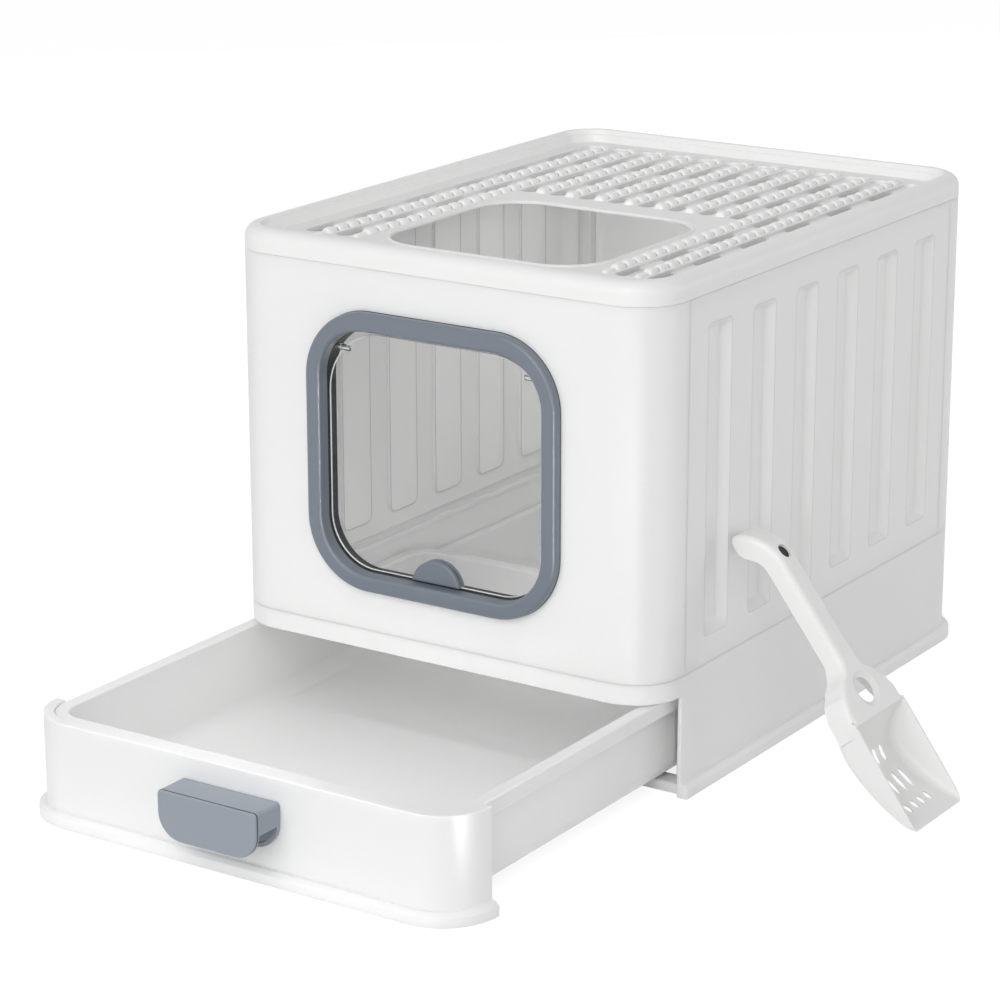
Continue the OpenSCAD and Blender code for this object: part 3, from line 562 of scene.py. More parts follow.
def side_panel(side, name, node):
    """The plate with its lining and the ribs behind its grooves, made as the right one and mirrored."""
    y0, y1 = FRONT_Y + PANEL_WRAP, HALF_D - PANEL_WRAP
    levels = round_levels(HALF_W - WALL, HALF_W, 0, 0.12, 3)
    wall = mesh_object(name, moved(slab(y0, y1, BASE_H, PANEL_TOP, [0.1] * 4, levels, 1), from_side))
    inner = HALF_W - LINING_DEEP + LINING_EDGE
    back = [(HALF_W - WALL + 1, 0.0), (inner, 0.0), (inner - LINING_EDGE, LINING_EDGE)]
    lining = slab(y0, y1, LINING_Z0, POST_Z1, [0.6] * 4, back, 1)
    rib_levels = [(inner, 0.0), (HALF_W - RIB_DEEP + RIB_EDGE, 0.0), (HALF_W - RIB_DEEP, RIB_EDGE)]
    ribs = [slab(c - RIB_HALF, c + RIB_HALF, GROOVE_Z0 - RIB_OVER, GROOVE_Z1 + RIB_OVER, [RIB_R] * 4,
                 rib_levels, 5) for c in GROOVES]
    for part in (lining, joined(ribs)):
        carved(wall, moved(part, from_side), "UNION")
    carved(wall, joined([groove(c) for c in GROOVES]))
    wall.data.transform(Matrix.Scale(side, 4, (1, 0, 0)))
    if side < 0:
        wall.data.flip_normals()
    # Painted shade in the crease round each rib inside, and at the groove's mouth outside
    painted_shade_outlines(name + "_rib_painted_shade", PAINTED_SHADE_GREY, RIB_HALF, RIB_OVER, RIB_R, 8,
                 strip(-1.7, -1.0, -0.2, 0.05), lambda d: side * (HALF_W - RIB_DEEP - d))
    painted_shade_outlines(name + "_groove_painted_shade", PAINTED_EDGE_SHADE_GREY, GROOVE_W / 2, 0, GROOVE_R, 6,
                 strip(0.1, 0.55, -0.3, 0.04), lambda d: side * (HALF_W + d))
    finished(wall, PANEL_WHITE, "housing", [node], 0.3, 28)


# ---- door ----

def door_ring(profile):
    """A closed profile of (outward, forward) carried round the door's opening, its top bar deeper inside."""
    stations = ring_stations(DOOR_W, DOOR_H, DOOR_R, 16)
    verts, faces = swept(stations, profile)
    out = []
    for i, (x, y, z) in enumerate(verts):
        upward = max(stations[i // len(profile)][3], 0)
        inside = smooth(1 - profile[i % len(profile)][0] / BEZEL_BAR)
        out.append((x, FRONT_Y - z, y + DOOR_MID - TOP_DROP * inside * upward ** 2))
    return out, faces


def door_bezel():
    """The bezel with its tunnel, a painted shade line at its foot and a painted black ring inside the tunnel
    for its shade.
    """
    bar = BEZEL_BAR
    profile = filleted([(0, -TUNNEL_DEEP, 0.4), (0, BEZEL_PROUD, BEZEL_EDGE), (bar, BEZEL_PROUD, BEZEL_EDGE),
                        (bar, 0, 0.3), (TUNNEL_WALL, 0, 0), (TUNNEL_WALL, -TUNNEL_DEEP, 0.4)], 6)
    bezel = mesh_object("door_bezel_ring", door_ring(profile))
    finished(bezel, BLUE_GREY, "housing", ["door_bezel"])
    # A near-black ring at the bezel's foot: painted contact shade
    foot = [(bar - 0.6, 0.02), (bar + 0.35, 0.02), (bar + 0.35, 0.3), (bar - 0.6, 0.7)]
    finished(mesh_object("bezel_foot_painted_shade", door_ring(foot)), PAINTED_SHADOW_DARK, "housing")
    # A black ring inside the tunnel, behind the pane: painted shade
    tunnel_shade = [(-0.4, -3.4), (0.3, -3.0), (0.3, -TUNNEL_DEEP + 0.4), (-0.4, -TUNNEL_DEEP + 0.8)]
    finished(mesh_object("door_tunnel_painted_shade", door_ring(tunnel_shade)), PAINTED_SHADE_BLACK, "housing")


def hinge_rod(side, r, x0, x1):
    """A round rod on the hinge's axis, on one side of the flap."""
    return lofted([[(side * x, HINGE_Y + dy, HINGE_Z + dz) for dy, dz in circle(r, 20)] for x in (x0, x1)])


def flap_pane():
    """The clear pane with its knuckles on the pins, and a white ring round it as a painted highlight of its
    edge.
    """
    half = DOOR_W / 2 - FLAP_GAP
    top_r, low_r = DOOR_R + 6, DOOR_R - FLAP_GAP
    radii = [low_r, top_r, top_r, low_r]
    y0 = FRONT_Y - (HINGE_Y - FLAP_T / 2)
    pane = slab(-half, half, FLAP_LOW, FLAP_HIGH, radii, round_levels(y0 - FLAP_T, y0, 0.5, 0.5, 3), 14)
    flap = mesh_object("flap_pane", moved(pane, standing))
    for side in (-1, 1):
        carved(flap, hinge_rod(side, KNUCKLE_R, PIN_TIP, PIN_TIP + KNUCKLE_L), "UNION")
        carved(flap, hinge_rod(side, PIN_R + PIN_PLAY, PIN_TIP - 1, DOOR_W / 2 + 5))
    finished(flap, CLEAR, "flap", ["flap"])
    # A white ring round the pane's rim: painted highlight of its edge
    edge = box_loop(-half, half, FLAP_LOW, FLAP_HIGH, radii, 14)
    ring = swept(loop_stations(edge), strip(-0.35, 0.06, y0 - FLAP_T - 0.05, y0 + 0.05))
    finished(mesh_object("flap_edge_painted_highlight", moved(ring, standing)), PAINTED_HIGHLIGHT_WHITE, "flap")


def grip_half(name, node, y, outward):
    """Half a disc with a rounded edge on its outer face."""
    loops = []
    base = FLAP_LOW - GRIP_SINK
    for depth, i in round_levels(0, GRIP_T, 0.0, GRIP_EDGE):
        r = GRIP_R - i
        low = math.degrees(math.asin((GRIP_SINK + i) / r))
        loops.append([(x, y + outward * depth, z) for x, z in arc(0, base, r, low, 180 - low, 28)])
    finished(mesh_object(name, lofted(loops)), BLUE_GREY, "flap", [node], 0.25)


# ---- lid ----

def row_start(x):
    """Where the channels and nubs at x begin, beside the hole or behind it."""
    beside_hole = abs(x) - SLOT_W / 2 > HOLE_W / 2 + LIP_W
    return CHANNEL_Y0 if beside_hole else BEHIND_HOLE


def channel_spots():
    return [(i - ROW_N / 2) * ROW_PITCH for i in range(ROW_N + 1)]


def lid_vents(x):
    """(start, end) of every opening in the channel at x."""
    start = row_start(x)
    first = CHANNEL_Y0 + VENT_LEN * 0.45
    centres = [first + k * VENT_PITCH for k in range(VENT_N)]
    return [(max(y - VENT_LEN / 2, start + 2), y + VENT_LEN / 2) for y in centres
            if y + VENT_LEN / 4 > start and y < CHANNEL_Y1 - VENT_LEN / 2]


def lid_rim():
    """The band, the rounded shoulder and the inner wall that runs into the deck with a hollow."""
    inner, shoulder = -RIM_W, BODY_H - RIM_ROUND
    under, lap = DECK_Z - DECK_T, SEAM_Z - LAP_DOWN
    profile = filleted([
        (0, SEAM_Z, 0.2), (0, BODY_H, RIM_ROUND), (inner, BODY_H, 1.4), (inner - 0.9, BODY_H - 4.2, 0.3),
        (inner - 1.9, BODY_H - 4.5, 0.5), (inner - 4, DECK_Z, 1.0), (inner - 6, DECK_Z, 0),
        (inner - 6, under, 0), (inner + DECK_T, under, 0), (inner + DECK_T, shoulder, 0),
        (-LAP_IN, shoulder, 0), (-LAP_IN, lap, 0.5), (-LAP_OUT, lap, 0.5), (-LAP_OUT, SEAM_Z, 0)], 8)
    return swept(ring_stations(BODY_W, BODY_D, CORNER_R, 16), profile)


def round_hole(grow, levels):
    """The entry hole's outline, grown on all sides, through (height, inset) levels."""
    wide, long = HOLE_W / 2 + grow, HOLE_L / 2 + grow
    return slab(-wide, wide, HOLE_Y - long, HOLE_Y + long, [HOLE_R + grow] * 4, levels, 14)


def lid_shell():
    """The rim, the deck with its channels and their openings, and the entry hole in its thin lip."""
    half_w, half_d = BODY_W / 2 - RIM_W - 4, BODY_D / 2 - RIM_W - 4
    shell = mesh_object("lid_shell", lid_rim())
    carved(shell, slab(-half_w, half_w, -half_d, half_d, [CORNER_R - RIM_W - 4] * 4,
                       [(DECK_Z - DECK_T, 0), (DECK_Z, 0)], 12), "UNION")
    half, wall, bottom = SLOT_W / 2, TROUGH_WALL, DECK_Z - SLOT_DEEP
    troughs, cuts, vents = [], [], []
    for x in channel_spots():
        y0, y1 = row_start(x), CHANNEL_Y1
        troughs.append(slab(x - half - wall, x + half + wall, y0 - wall, y1 + wall, [half + wall - 0.1] * 4,
                            [(bottom - wall, 0), (DECK_Z - 0.5, 0)], 6))
        cuts.append(slab(x - half, x + half, y0, y1, [half - 0.1] * 4,
                         [(bottom, 0), (DECK_Z - 0.8, 0), (DECK_Z - 0.2, -0.25), (DECK_Z + 1, -1)], 6))
        vents += [slab(x - half + 0.2, x + half - 0.2, start, end, [VENT_R] * 4,
                       [(DECK_Z - 12, 0), (DECK_Z - 1.5, 0)], 5) for start, end in lid_vents(x)]
    carved(shell, joined(troughs), "UNION")
    carved(shell, round_hole(LIP_W, round_levels(DECK_Z - LIP_DROP, DECK_Z + LIP_UP, 0, LIP_ROUND)), "UNION")
    carved(shell, joined(cuts))
    carved(shell, joined(vents))
    top = DECK_Z + LIP_UP
    carved(shell, round_hole(0, [(DECK_Z - PAST, 0), (top - LIP_ROUND, 0), (top - 0.6, -0.4),
                                 (top + 0.4, -1.6)]))
    carved(shell, round_hole(UNDERCUT, [(DECK_Z - PAST, 0), (DECK_Z - LIP_THIN, 0)]))
    finished(shell, LID_WHITE, "lid", ["lid"], 0.35)
    # The deck's faces take the darker copy of the lid's white: painted shade
    shell.data.materials.append(DECK_SHADED_WHITE)
    for face in shell.data.polygons:
        x, y, z = face.center / MM
        if abs(x) < half_w - 0.5 and abs(y) < half_d - 0.5 and z < DECK_Z + 0.3:
            face.material_index = 1


# A nub's radius along its length, from its bulging front end to its rear
NUB_SHAPE = [(0, 0.5), (0.02, 0.7), (0.06, 0.86), (0.14, 0.96), (0.24, 1.0), (0.4, 0.98), (0.6, 0.92),
             (0.8, 0.86), (0.92, 0.78), (0.98, 0.64), (1, 0.45)]


def round_bar(x, rings, steps):
    """A bar along Y from (place, radius) rings, half sunk in the deck."""
    return lofted([[(x + dx, y, DECK_Z - NUB_SINK + dz) for dx, dz in circle(r, steps)] for y, r in rings])


def nub(x, y, size):
    """One barrel lump."""
    return round_bar(x, [(y + (NUB_PITCH - NUB_GAP) * t, NUB_R * share * size) for t, share in NUB_SHAPE], 20)


def gap_shade_disc(x, y):
    """The grey disc in the gap before a nub, painted shade of the gap."""
    return round_bar(x, [(y - NUB_GAP / 2 + side, NUB_R * 0.64) for side in (-0.22, 0.22)], 16)


def lid_nubs():
    """The rows of nubs, with painted shade in the gaps. Beside the hole they begin with a small one, on the
    far left one place sooner.
    """
    nubs, gap_shades = [], []
    for i in range(ROW_N):
        x = (i - (ROW_N - 1) / 2) * ROW_PITCH
        y = row_start(x)
        if y == CHANNEL_Y0:
            y += NUB_PITCH if i else 0
            nubs.append(nub(x, y - NUB_PITCH, SMALL_NUB))
        while y <= CHANNEL_Y1 - NUB_PITCH + NUB_GAP:
            nubs.append(nub(x, y, 1.0))
            y += NUB_PITCH
            gap_shades.append(gap_shade_disc(x, y))
        gap_shades.pop()
    # The nubs take the lighter copy of the lid's white: painted light
    finished(mesh_object("lid_nubs", joined(nubs)), NUB_LIT_WHITE, "lid")
    finished(mesh_object("lid_nub_gap_painted_shade", joined(gap_shades)), PAINTED_SHADE_GREY, "lid")


# ---- drawer ----

def back_by_pull(x, y, z):
    """From the closed drawer to where it stands."""
    return x, y - PULL, z


def drawer_front():
    """The wrapped front with its plinth and top flange, and the ribs behind it."""
    top = FRONT_H
    corners = [(out, max(z, DRAWER_Z0), r) for out, z, r in plinth_points()]
    profile = filleted([*corners, (0, top, 0.9), (-FLANGE_W, top, 0.8), (-FLANGE_W, top - WALL, 0.8),
                        (-WALL, top - WALL, 1.5), (-WALL, DRAWER_Z0, 0.4)], 5)
    front = swept(wrap_stations(FRONT_WRAP), profile, closed=False)
    finished(mesh_object("drawer_face", moved(front, back_by_pull)), FRONT_WHITE, "drawer",
             ["drawer_front"], 0.5)
    y0, y1 = FRONT_Y + 1, FRONT_Y + FLANGE_W + 8
    ribs = [box(x - WALL / 2, x + WALL / 2, y0, y1, 14, 54) for x in (-150, -75, 75, 150)]
    finished(mesh_object("drawer_face_ribs", moved(joined(ribs), back_by_pull)), FRONT_WHITE, "drawer",
             bevel=0.4)


def litter_tray():
    """The tub with its rim, skirt and hollow foot, and a plate for its floor."""
    wall_out, wall_in = TRAY_WALL - TRAY_RIM, -TRAY_RIM
    profile = filleted([
        (0, TRAY_TOP, 1.2), (wall_in, TRAY_TOP, 1.6), (wall_in, TRAY_Z + TRAY_WALL, TRAY_FILLET - TRAY_WALL),
        (-TRAY_R + 1, TRAY_Z + TRAY_WALL, 0), (-TRAY_R + 1, TRAY_Z, 0), (wall_out, TRAY_Z, TRAY_FILLET),
        (wall_out, TRAY_TOP - TRAY_WALL, 0.5), (-TRAY_WALL, TRAY_TOP - TRAY_WALL, 0.5),
        (-TRAY_WALL, TRAY_TOP - SKIRT_H, 0.5), (0, TRAY_TOP - SKIRT_H, 0.5)], 8)
    length = TRAY_Y1 - TRAY_Y0
    mid = (TRAY_Y0 + TRAY_Y1) / 2
    part = moved(swept(ring_stations(TRAY_W, length, TRAY_R, 14), profile), lambda x, y, z: (x, y + mid, z))
    tray = mesh_object("tray_tub", part)
    floor_w, floor_l = TRAY_W / 2 - TRAY_R + 6, length / 2 - TRAY_R + 6
    floor = slab(-floor_w, floor_w, mid - floor_l, mid + floor_l, [7.0] * 4,
                 [(TRAY_Z, 0), (TRAY_Z + TRAY_WALL, 0)], 8)
    carved(tray, floor, "UNION")
    finished(tray, TRAY_WHITE, "drawer", ["litter_tray"])


def handle_loop(inset, depth):
    """The handle's face at a distance before the drawer's front."""
    x, r, rt = HANDLE_W / 2 - inset, HANDLE_R - inset, 3.0
    loop = box_loop(-x, x, HANDLE_Z + inset, HANDLE_Z + HANDLE_H - inset, [r, rt, rt, r], 10)
    return [(px, FRONT_Y - PULL - depth, z) for px, z in loop]


def drawer_handle():
    """Two shaped plates joined at the top, the rear one with a shallow field, the front one ringed by a
    painted shade line.
    """
    levels = round_levels(0.02, HANDLE_D, 0.6, 1.5, 5)
    body = mesh_object("handle_body", lofted([handle_loop(i, d) for d, i in levels]))
    plate = 4.0
    y0, y1 = FRONT_Y - PULL - HANDLE_D + plate, FRONT_Y - PULL - plate
    web = HANDLE_Z + HANDLE_H - 17
    carved(body, box(-HANDLE_W, HANDLE_W, y0, y1, 0, web))
    carved(body, box(-HANDLE_W / 2 + 3, HANDLE_W / 2 - 3, y0, y1, web - 1, web + 3))
    field = [[(x, y, min(z, web)) for x, y, z in handle_loop(3.0, d)] for d in (2.8, 5.0)]
    carved(body, lofted(field))
    finished(body, HANDLE_GREY, "drawer", ["drawer_handle"], 0.4)
    # A near-black ring round the front plate's edge: painted shade of its rounded edge
    edge = [(x, z) for x, y, z in handle_loop(0, 0)]
    ring = swept(loop_stations(edge), strip(-0.7, 0.15, HANDLE_D - 2.6, HANDLE_D - 1.6))
    line = moved(ring, lambda x, z, d: (x, FRONT_Y - PULL - d, z))
    finished(mesh_object("handle_edge_painted_shade", line), PAINTED_SHADOW_DARK, "drawer")


# ---- scoop ----

def along(table, at, ease=smooth):
    """The value at a place, from a table of (place, value), eased between its rows."""
    for (a, va), (b, vb) in zip(table, table[1:]):
        if at <= b:
            return va + (vb - va) * ease((at - a) / (b - a))
    return table[-1][1]


def straight(table, at):
    """The value at a place, from a table of (place, value), on straight lines."""
    return along(table, at, lambda t: max(t, 0))


def leaning(s, n, y):
    """From a place along the scoop, a height and a side to the frame."""
    p = Vector((SCOOP_TIP_X, 0)) + LEAN_DIR * s + LEAN_UP * (n + TIP_DROP)
    return p.x, SCOOP_Y + y, p.y


def before_tip(s, n):
    """The place, drawn back to the upright plane through the tip."""
    return min(s, -(n + TIP_DROP) * LEAN_UP.x / LEAN_DIR.x)


# The neck's half width, top and side depth: (place from the tip, value)
NECK_HALF = [(-150, 11.5), (-134, 11.6), (-126, 15), (-118, 25.5), (-109, 33.5), (-98, 37.8), (-84, 38.3)]
NECK_TOP = [(-135, 0.0), (-122, -0.8), (-88, -1.0), (-70, -1.6)]
NECK_DEEP = [(-140, 16.5), (-126, 18.5), (-104, 21.5), (-80, 21.5)]
# The pan's upper and lower side lines, its floor inside and its half width
PAN_TOP = [(-92, -1.2), (-60, -1.8), (-30, -2.4), (-10, -3.2), (-3, -3.7), (0, -4.0)]
PAN_LOW = [(-90, -23), (-87, -27), (-81, -29.8), (-70, -31.5), (-60, -31.2), (-50, -29.6), (-40, -27.2),
           (-30, -24.2), (-20, -19.8), (-10, -13.6), (-4, -8.4), (0, -4.32)]
PAN_IN = [(-88, -3), (-84, -9.5), (-79, -15.5), (-73, -20.5), (-66, -23.8), (-58, -25), (-50, -24.3),
          (-40, -22), (-30, -19.3), (-20, -15.5), (-10, -10), (-4, -6.4), (0, -3.7), (6, 0)]
PAN_HALF = [(-92, 38.9), (-84, 39.4), (-12, 39.4), (-6, 39), (-2.5, 38), (0, 36)]
# The handle: half width at its tip and at the neck, depth at its tip, at the hook's end and at the neck
TIP_HALF, STEM_HALF, TIP_DEEP, HOOK_DEEP, STEM_DEEP = 14.2, 11.5, 14.0, 18.0, 16.5
TIP_ROUND, HANDLE_EDGE = 7.0, 5.0
# The pan's floor, and its half width under that and inside at the rim, with what it gains for each mm up
PAN_FLOOR, PAN_UNDER_HALF, PAN_IN_HALF, PAN_IN_SPREAD = 1.3, 31.5, 37.2, 0.3


def bend_up(angle):
    """The direction away from the bend's centre, at an angle from upright."""
    return Vector((math.sin(angle), math.cos(angle)))


def handle_stations():
    """(place, up, half width, depth) from the handle's tip, round both arcs and down to the neck."""
    hook = BEND + Vector((0, BEND_R - HOOK_R))
    turn = math.asin(min((hook.x - HALF_W - 0.4) / HOOK_R, 1))
    out = []
    for i in range(11):
        up = bend_up(-turn * (1 - i / 10))
        out.append((hook + up * HOOK_R, up, TIP_HALF, TIP_DEEP + (HOOK_DEEP - TIP_DEEP) * i / 10))
    for i in range(1, 17):
        up, t = bend_up(LEAN * i / 16), smooth(i / 16)
        half, deep = TIP_HALF + (STEM_HALF - TIP_HALF) * t, HOOK_DEEP + (STEM_DEEP - HOOK_DEEP) * t
        out.append((BEND + up * BEND_R, up, half, deep))
    tip_s = SCOOP_TIP_X * LEAN_DIR.x
    start = out[-1][0].dot(LEAN_DIR) - tip_s
    for s in [start + (-150 - start) * k / 4 for k in (1, 2, 3)] + list(range(-150, -76, 3)):
        place = LEAN_DIR * (tip_s + s) + LEAN_UP * (TOP_LINE + straight(NECK_TOP, s))
        out.append((place, LEAN_UP, along(NECK_HALF, s), along(NECK_DEEP, s)))
    return out


def handle_loops(wall, drop):
    """Rings round the handle, drawn in by the wall's thickness, open below by drop."""
    rings = []
    stations = handle_stations()
    run = 0.0
    for i, (place, up, half, deep) in enumerate(stations):
        run += (place - stations[i - 1][0]).length if i else 0.0
        nose = max(TIP_ROUND - run, 0.0)
        rounding = TIP_ROUND - math.sqrt(TIP_ROUND ** 2 - nose ** 2)
        inset = rounding + wall
        r = max(HANDLE_EDGE - wall, 1.5)
        low = -deep + rounding * 0.8 - min(drop, 24 - deep)
        flat = filleted([(-half + inset, low, 0.9), (half - inset, low, 0.9), (half - inset, -inset, r),
                         (-half + inset, -inset, r)], 5)
        rings.append([(place.x + up.x * n, SCOOP_Y + y, place.y + up.y * n) for y, n in flat])
    return rings[1:] if wall else rings[:-1]


def pan_ring(s, half, top, low, lean_in, r):
    """The pan's outline at a place, narrower below, drawn back where it would pass the tip."""
    edge = min(0.4, (top - low) * 0.3)
    flat = filleted([(-half + lean_in, low, r), (half - lean_in, low, r), (half, top, edge),
                     (-half, top, edge)], 6)
    return [leaning(before_tip(s, n), n, y) for y, n in flat]


def pan_body():
    rings = []
    for s in (-90, -88, -85, -80, -72, -64, -56, -48, -40, -32, -24, -17, -11, -7, -4, -2, 0):
        top, low, half = straight(PAN_TOP, s), straight(PAN_LOW, s), straight(PAN_HALF, s)
        height = top - low
        rings.append(pan_ring(s, half, top, low, min(5.0, height * 0.3), min(11.0, height * 0.42)))
    return lofted(rings)


def pan_space():
    """The pan's inside, open at its top and its tip."""
    rings = []
    top = 12.0
    for s in (-88, -87, -86, -84, -82, -79, -74, -66, -58, -50, -42, -34, -26, -18, -11, -6, -3, 0, 6):
        low, rim = straight(PAN_IN, s), straight(PAN_TOP, s)
        at_low, at_top = (PAN_IN_HALF + PAN_IN_SPREAD * (n - rim) for n in (low, top))
        r = 4 + 5 * min(max((rim - low) / 12, 0), 1)
        flat = filleted([(-at_low, low, r), (at_low, low, r), (at_top, top, 0.4), (-at_top, top, 0.4)], 6)
        rings.append([leaning(s, n, y) for y, n in flat])
    return lofted(rings)


def pan_under():
    """The hollow under the pan's floor, between its side walls."""
    rings = []
    for s in (-76, -70, -60, -50, -40, -30, -22, -15, -10):
        roof, half = straight(PAN_IN, s) - PAN_FLOOR, PAN_UNDER_HALF
        flat = filleted([(-half, -60, 0.5), (half, -60, 0.5), (half, roof, 4), (-half, roof, 4)], 6)
        rings.append([leaning(s, n, y) for y, n in flat])
    return lofted(rings)


def drilled(s, r):
    """A round hole square to the lean."""
    return lofted([[leaning(s + a, n, b) for a, b in circle(r, 28)] for n in (-40, 15)])


def dish(s, high, r):
    """A ball whose lower cap hollows the neck round its hole."""
    loops = []
    for i in range(1, 12):
        turn = math.pi * i / 12
        n = high - r * math.cos(turn)
        loops.append([leaning(s + a, n, b) for a, b in circle(r * math.sin(turn), 24)])
    return lofted(loops)


def bend_disc(r, low, high):
    """A disc in the handle's bend, between two heights over the bend's centre."""
    up = bend_up(LEAN * HANG_SHARE)
    side = Vector((up.y, -up.x))
    loops = []
    for height in (low, high):
        spots = [(BEND + up * height + side * a, b) for a, b in circle(r, 24)]
        loops.append([(p.x, SCOOP_Y + y, p.y) for p, y in spots])
    return lofted(loops)


# Rows of slots: place, length, how many and how far the row stands aside
SLOT_ROWS = [(-60.5, 13.0, 2, 5), (-36.2, 18.0, 3, 4), (-16.5, 8.0, 4, 0)]
SLOT_SPACE, SLOT_HALF, SLOT_TIP = 10.6, 2.6, 0.15


def pan_slot(s, y, length):
    """A pointed slot through the pan's floor."""
    share = [-1, -0.92, -0.7, -0.35, 0, 0.35, 0.7, 0.92, 1]
    half = [SLOT_HALF * (1 - t * t) ** 0.6 + SLOT_TIP for t in share]
    flat = [(s + length / 2 * t, y - w) for t, w in zip(share, half)]
    flat += [(s + length / 2 * t, y + w) for t, w in reversed(list(zip(share, half)))]
    return lofted([[leaning(a, n, b) for a, b in flat] for n in (-40, 10)])


def scoop():
    """The hollow handle with the pan joined to it, then the holes and the slots."""
    body = mesh_object("scoop_body", lofted(handle_loops(0.0, 0.0)))
    carved(body, lofted(handle_loops(SCOOP_T, 12.0)))
    carved(body, pan_body(), "UNION")
    carved(body, pan_space())
    carved(body, pan_under())
    carved(body, dish(DISH_S, DISH_HIGH, DISH_R))
    carved(body, drilled(NECK_HOLE_S, NECK_HOLE_R))
    carved(body, bend_disc(HANG_R, BEND_R - 12, BEND_R + 8))
    # A black disc just under the hanging hole: painted shade for the hole's dark inside
    inner = BEND_R - SCOOP_T
    shade = mesh_object("scoop_hole_shade", bend_disc(HANG_R + 1.2, inner - 1.2, inner - 0.4))
    finished(shade, PAINTED_SHADE_BLACK, "scoop")
    slots = [pan_slot(s, aside + (i - (n - 1) / 2) * SLOT_SPACE, length) for s, length, n, aside in SLOT_ROWS
             for i in range(n)]
    carved(body, joined(slots))
    finished(body, SCOOP_WHITE, "scoop", ["scoop"], 0.5, 30)


# ---- build ----

base_frame()
base_sills()
drawer_runners()
front_panel()
back_panel()
side_panel(1, "right_wall", "right_panel")
side_panel(-1, "left_wall", "left_panel")
door_bezel()
from_cad("door_retainer", "retainer_ring", BLUE_GREY, "housing", 0.4)
from_cad("retainer_screws", "retainer_screw_set", STEEL, "housing", 0.25)
from_cad("flap_pin_left", "hinge_pin_left", STEEL, "housing", 0.4)
from_cad("flap_pin_right", "hinge_pin_right", STEEL, "housing", 0.4)
from_cad("frame_magnet", "catch_magnet_frame", MAGNET, "housing", 0.3)
flap_pane()
grip_half("grip_front", "flap_grip_front", HINGE_Y - FLAP_T / 2, -1)
grip_half("grip_back", "flap_grip_back", HINGE_Y + FLAP_T / 2, 1)
from_cad("flap_magnet", "catch_magnet_flap", MAGNET, "flap", 0.3)
lid_shell()
lid_nubs()
litter_tray()
drawer_front()
drawer_handle()
from_cad("handle_screws", "handle_screw_set", STEEL, "drawer", 0.25)
scoop()


# ---- studio ----

def seen_rays(tree):
    """1 on rays from the camera, from gloss and through clear pieces."""
    path = tree.nodes.new("ShaderNodeLightPath")
    total = path.outputs["Is Camera Ray"]
    for name in ("Is Glossy Ray", "Is Transmission Ray"):
        add = tree.nodes.new("ShaderNodeMath")
        add.operation = "ADD"
        add.use_clamp = True
        tree.links.new(total, add.inputs[0])
        tree.links.new(path.outputs[name], add.inputs[1])
        total = add.outputs[0]
    return total


def studio_world(ambient, toward_front):
    """White where it is seen, and a softer light on the object, stronger from the front."""
    world = bpy.data.worlds.new("studio")
    world.use_nodes = True
    scene.world = world
    tree = world.node_tree
    tree.nodes.clear()
    out = tree.nodes.new("ShaderNodeOutputWorld")
    shown = set_inputs(tree.nodes.new("ShaderNodeBackground"), Color=(1, 1, 1, 1))
    light = set_inputs(tree.nodes.new("ShaderNodeBackground"), Color=(1, 1, 1, 1))
    mix = tree.nodes.new("ShaderNodeMixShader")
    place = tree.nodes.new("ShaderNodeTexCoord")
    parts = tree.nodes.new("ShaderNodeSeparateXYZ")
    level = set_inputs(tree.nodes.new("ShaderNodeMapRange"), From_Min=-1, To_Min=ambient + toward_front,
                       To_Max=ambient - toward_front)
    tree.links.new(place.outputs["Generated"], parts.inputs["Vector"])
    tree.links.new(parts.outputs["Y"], level.inputs["Value"])
    tree.links.new(level.outputs["Result"], light.inputs["Strength"])
    tree.links.new(seen_rays(tree), mix.inputs["Fac"])
    tree.links.new(light.outputs["Background"], mix.inputs[1])
    tree.links.new(shown.outputs["Background"], mix.inputs[2])
    tree.links.new(mix.outputs["Shader"], out.inputs["Surface"])


def studio_floor():
    """A white floor that keeps a faint shadow."""
    size = 12000.0
    floor = mesh_object("floor", ([(x, y, 0) for x, y in strip(-size, size, -size, size)], [(0, 1, 2, 3)]))
    floor.location.z = -0.5 * MM
    mat = bpy.data.materials.new("studio_floor")
    mat.use_nodes = True
    tree = mat.node_tree
    tree.nodes.clear()
    out = tree.nodes.new("ShaderNodeOutputMaterial")
    real = set_inputs(tree.nodes.new("ShaderNodeBsdfDiffuse"), Color=(0.88, 0.88, 0.88, 1))
    shade = set_inputs(tree.nodes.new("ShaderNodeBsdfDiffuse"), Color=(0.4, 0.4, 0.4, 1))
    glow = set_inputs(tree.nodes.new("ShaderNodeEmission"), Strength=0.82)
    both = tree.nodes.new("ShaderNodeAddShader")
    mix = tree.nodes.new("ShaderNodeMixShader")
    tree.links.new(shade.outputs["BSDF"], both.inputs[0])
    tree.links.new(glow.outputs["Emission"], both.inputs[1])
    tree.links.new(seen_rays(tree), mix.inputs["Fac"])
    tree.links.new(real.outputs["BSDF"], mix.inputs[1])
    tree.links.new(both.outputs["Shader"], mix.inputs[2])
    tree.links.new(mix.outputs["Shader"], out.inputs["Surface"])
    floor.data.materials.append(mat)


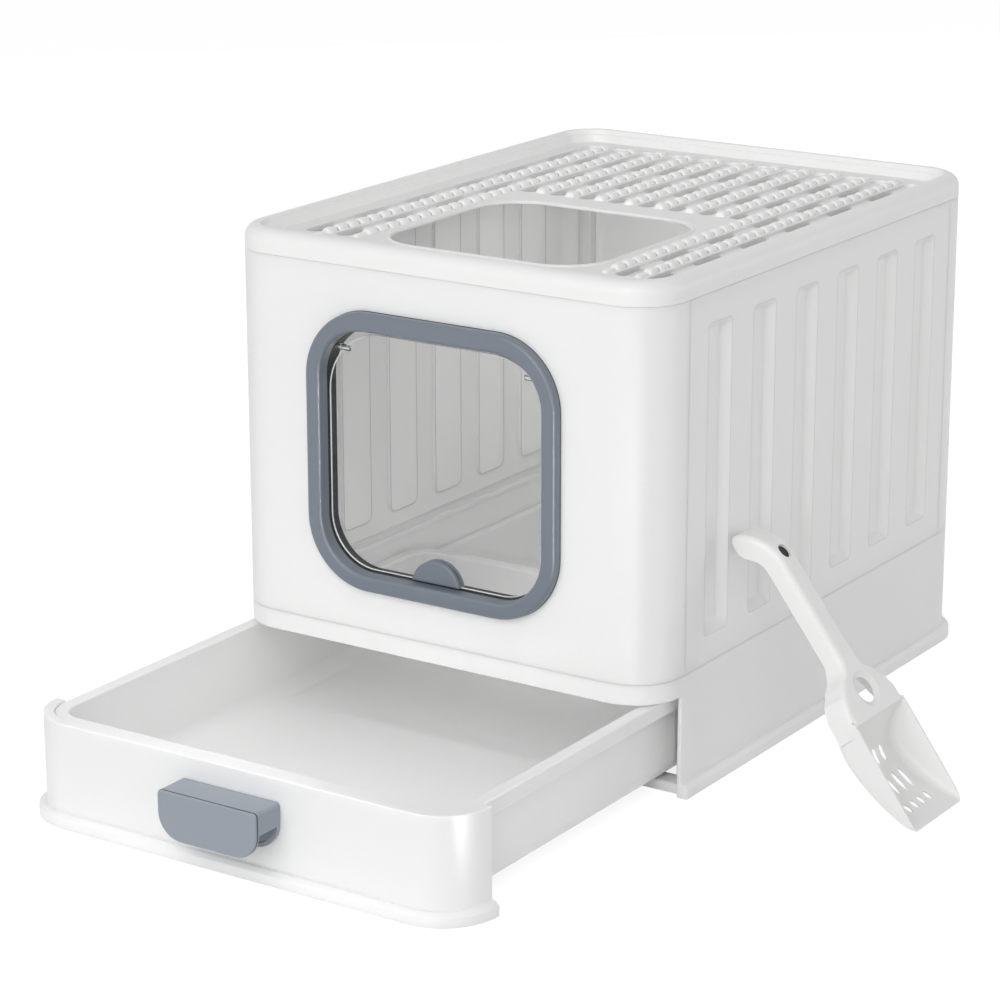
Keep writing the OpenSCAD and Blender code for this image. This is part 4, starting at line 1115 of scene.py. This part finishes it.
def lamp(name, place, aim, wide, tall, power, hidden=(), spread=180):
    """A rectangular lamp in metres and watts, left out of the hidden kinds of rays."""
    data = bpy.data.lights.new(name, "AREA")
    data.shape = "RECTANGLE"
    data.size = wide
    data.size_y = tall
    data.energy = power
    data.spread = math.radians(spread)
    obj = bpy.data.objects.new(name, data)
    scene.collection.objects.link(obj)
    obj.location = place
    obj.rotation_euler = (Vector(aim) - Vector(place)).to_track_quat("-Z", "Y").to_euler()
    for rays in hidden:
        setattr(obj, "visible_" + rays, False)


# The camera as it was solved from the photo's edges: its place in millimetres and its axes
CAMERA_PLACE = (1354.01, -2208.12, 931.91)
CAMERA_RIGHT = (0.83381, 0.55205, -0.00150)
CAMERA_UP = (-0.15898, 0.24272, 0.95698)
CAMERA_BACK = (0.52866, -0.79770, 0.29015)


def camera():
    data = bpy.data.cameras.new("camera")
    data.lens = 118.95
    data.sensor_width = 36.0
    data.clip_end = 60
    obj = bpy.data.objects.new("camera", data)
    scene.collection.objects.link(obj)
    turn = Matrix((CAMERA_RIGHT, CAMERA_UP, CAMERA_BACK)).transposed().to_4x4()
    obj.matrix_world = Matrix.Translation(Vector(CAMERA_PLACE) * MM) @ turn
    scene.camera = obj


# The kinds of rays that miss a lamp which only lights, and one which only adds gloss
UNSEEN = ("camera", "transmission", "glossy")
GLOSS_ONLY = ("camera", "transmission", "diffuse")

scene.view_settings.view_transform = "Standard"
studio_world(ambient=0.39, toward_front=0.12)
studio_floor()
lamp("key", (0.45, -3.0, 1.75), (0, 0, 0.2), 3.0, 3.0, 56)
lamp("edge", (0.31, -0.53, 0.13), (-0.06, -0.25, 0.22), 0.06, 0.24, 0.17, GLOSS_ONLY, 60)
lamp("strip", (2.4, -1.6, 0.8), (0, 0, 0.3), 0.16, 1.4, 1.6)
lamp("rear_fill", (2.4, 2.0, 0.7), (0, 0.1, 0.2), 1.5, 1.2, 13)
lamp("back_fill", (-2.2, 2.4, 0.35), (0, 0.1, 0.2), 1.5, 0.8, 20, UNSEEN)
lamp("tray_fill", (-0.02, -0.45, 0.6), (-0.02, -0.45, 0), 0.2, 0.12, 0.12, UNSEEN, 60)
lamp("inside_fill", (0, 0.1, 0.37), (0, 0.1, 0), 0.3, 0.2, 0.125, UNSEEN)
lamp("lid_fill", (0, 0.03, 0.9), (0, 0.03, 0.4), 0.3, 0.4, 0.28, UNSEEN)
camera()
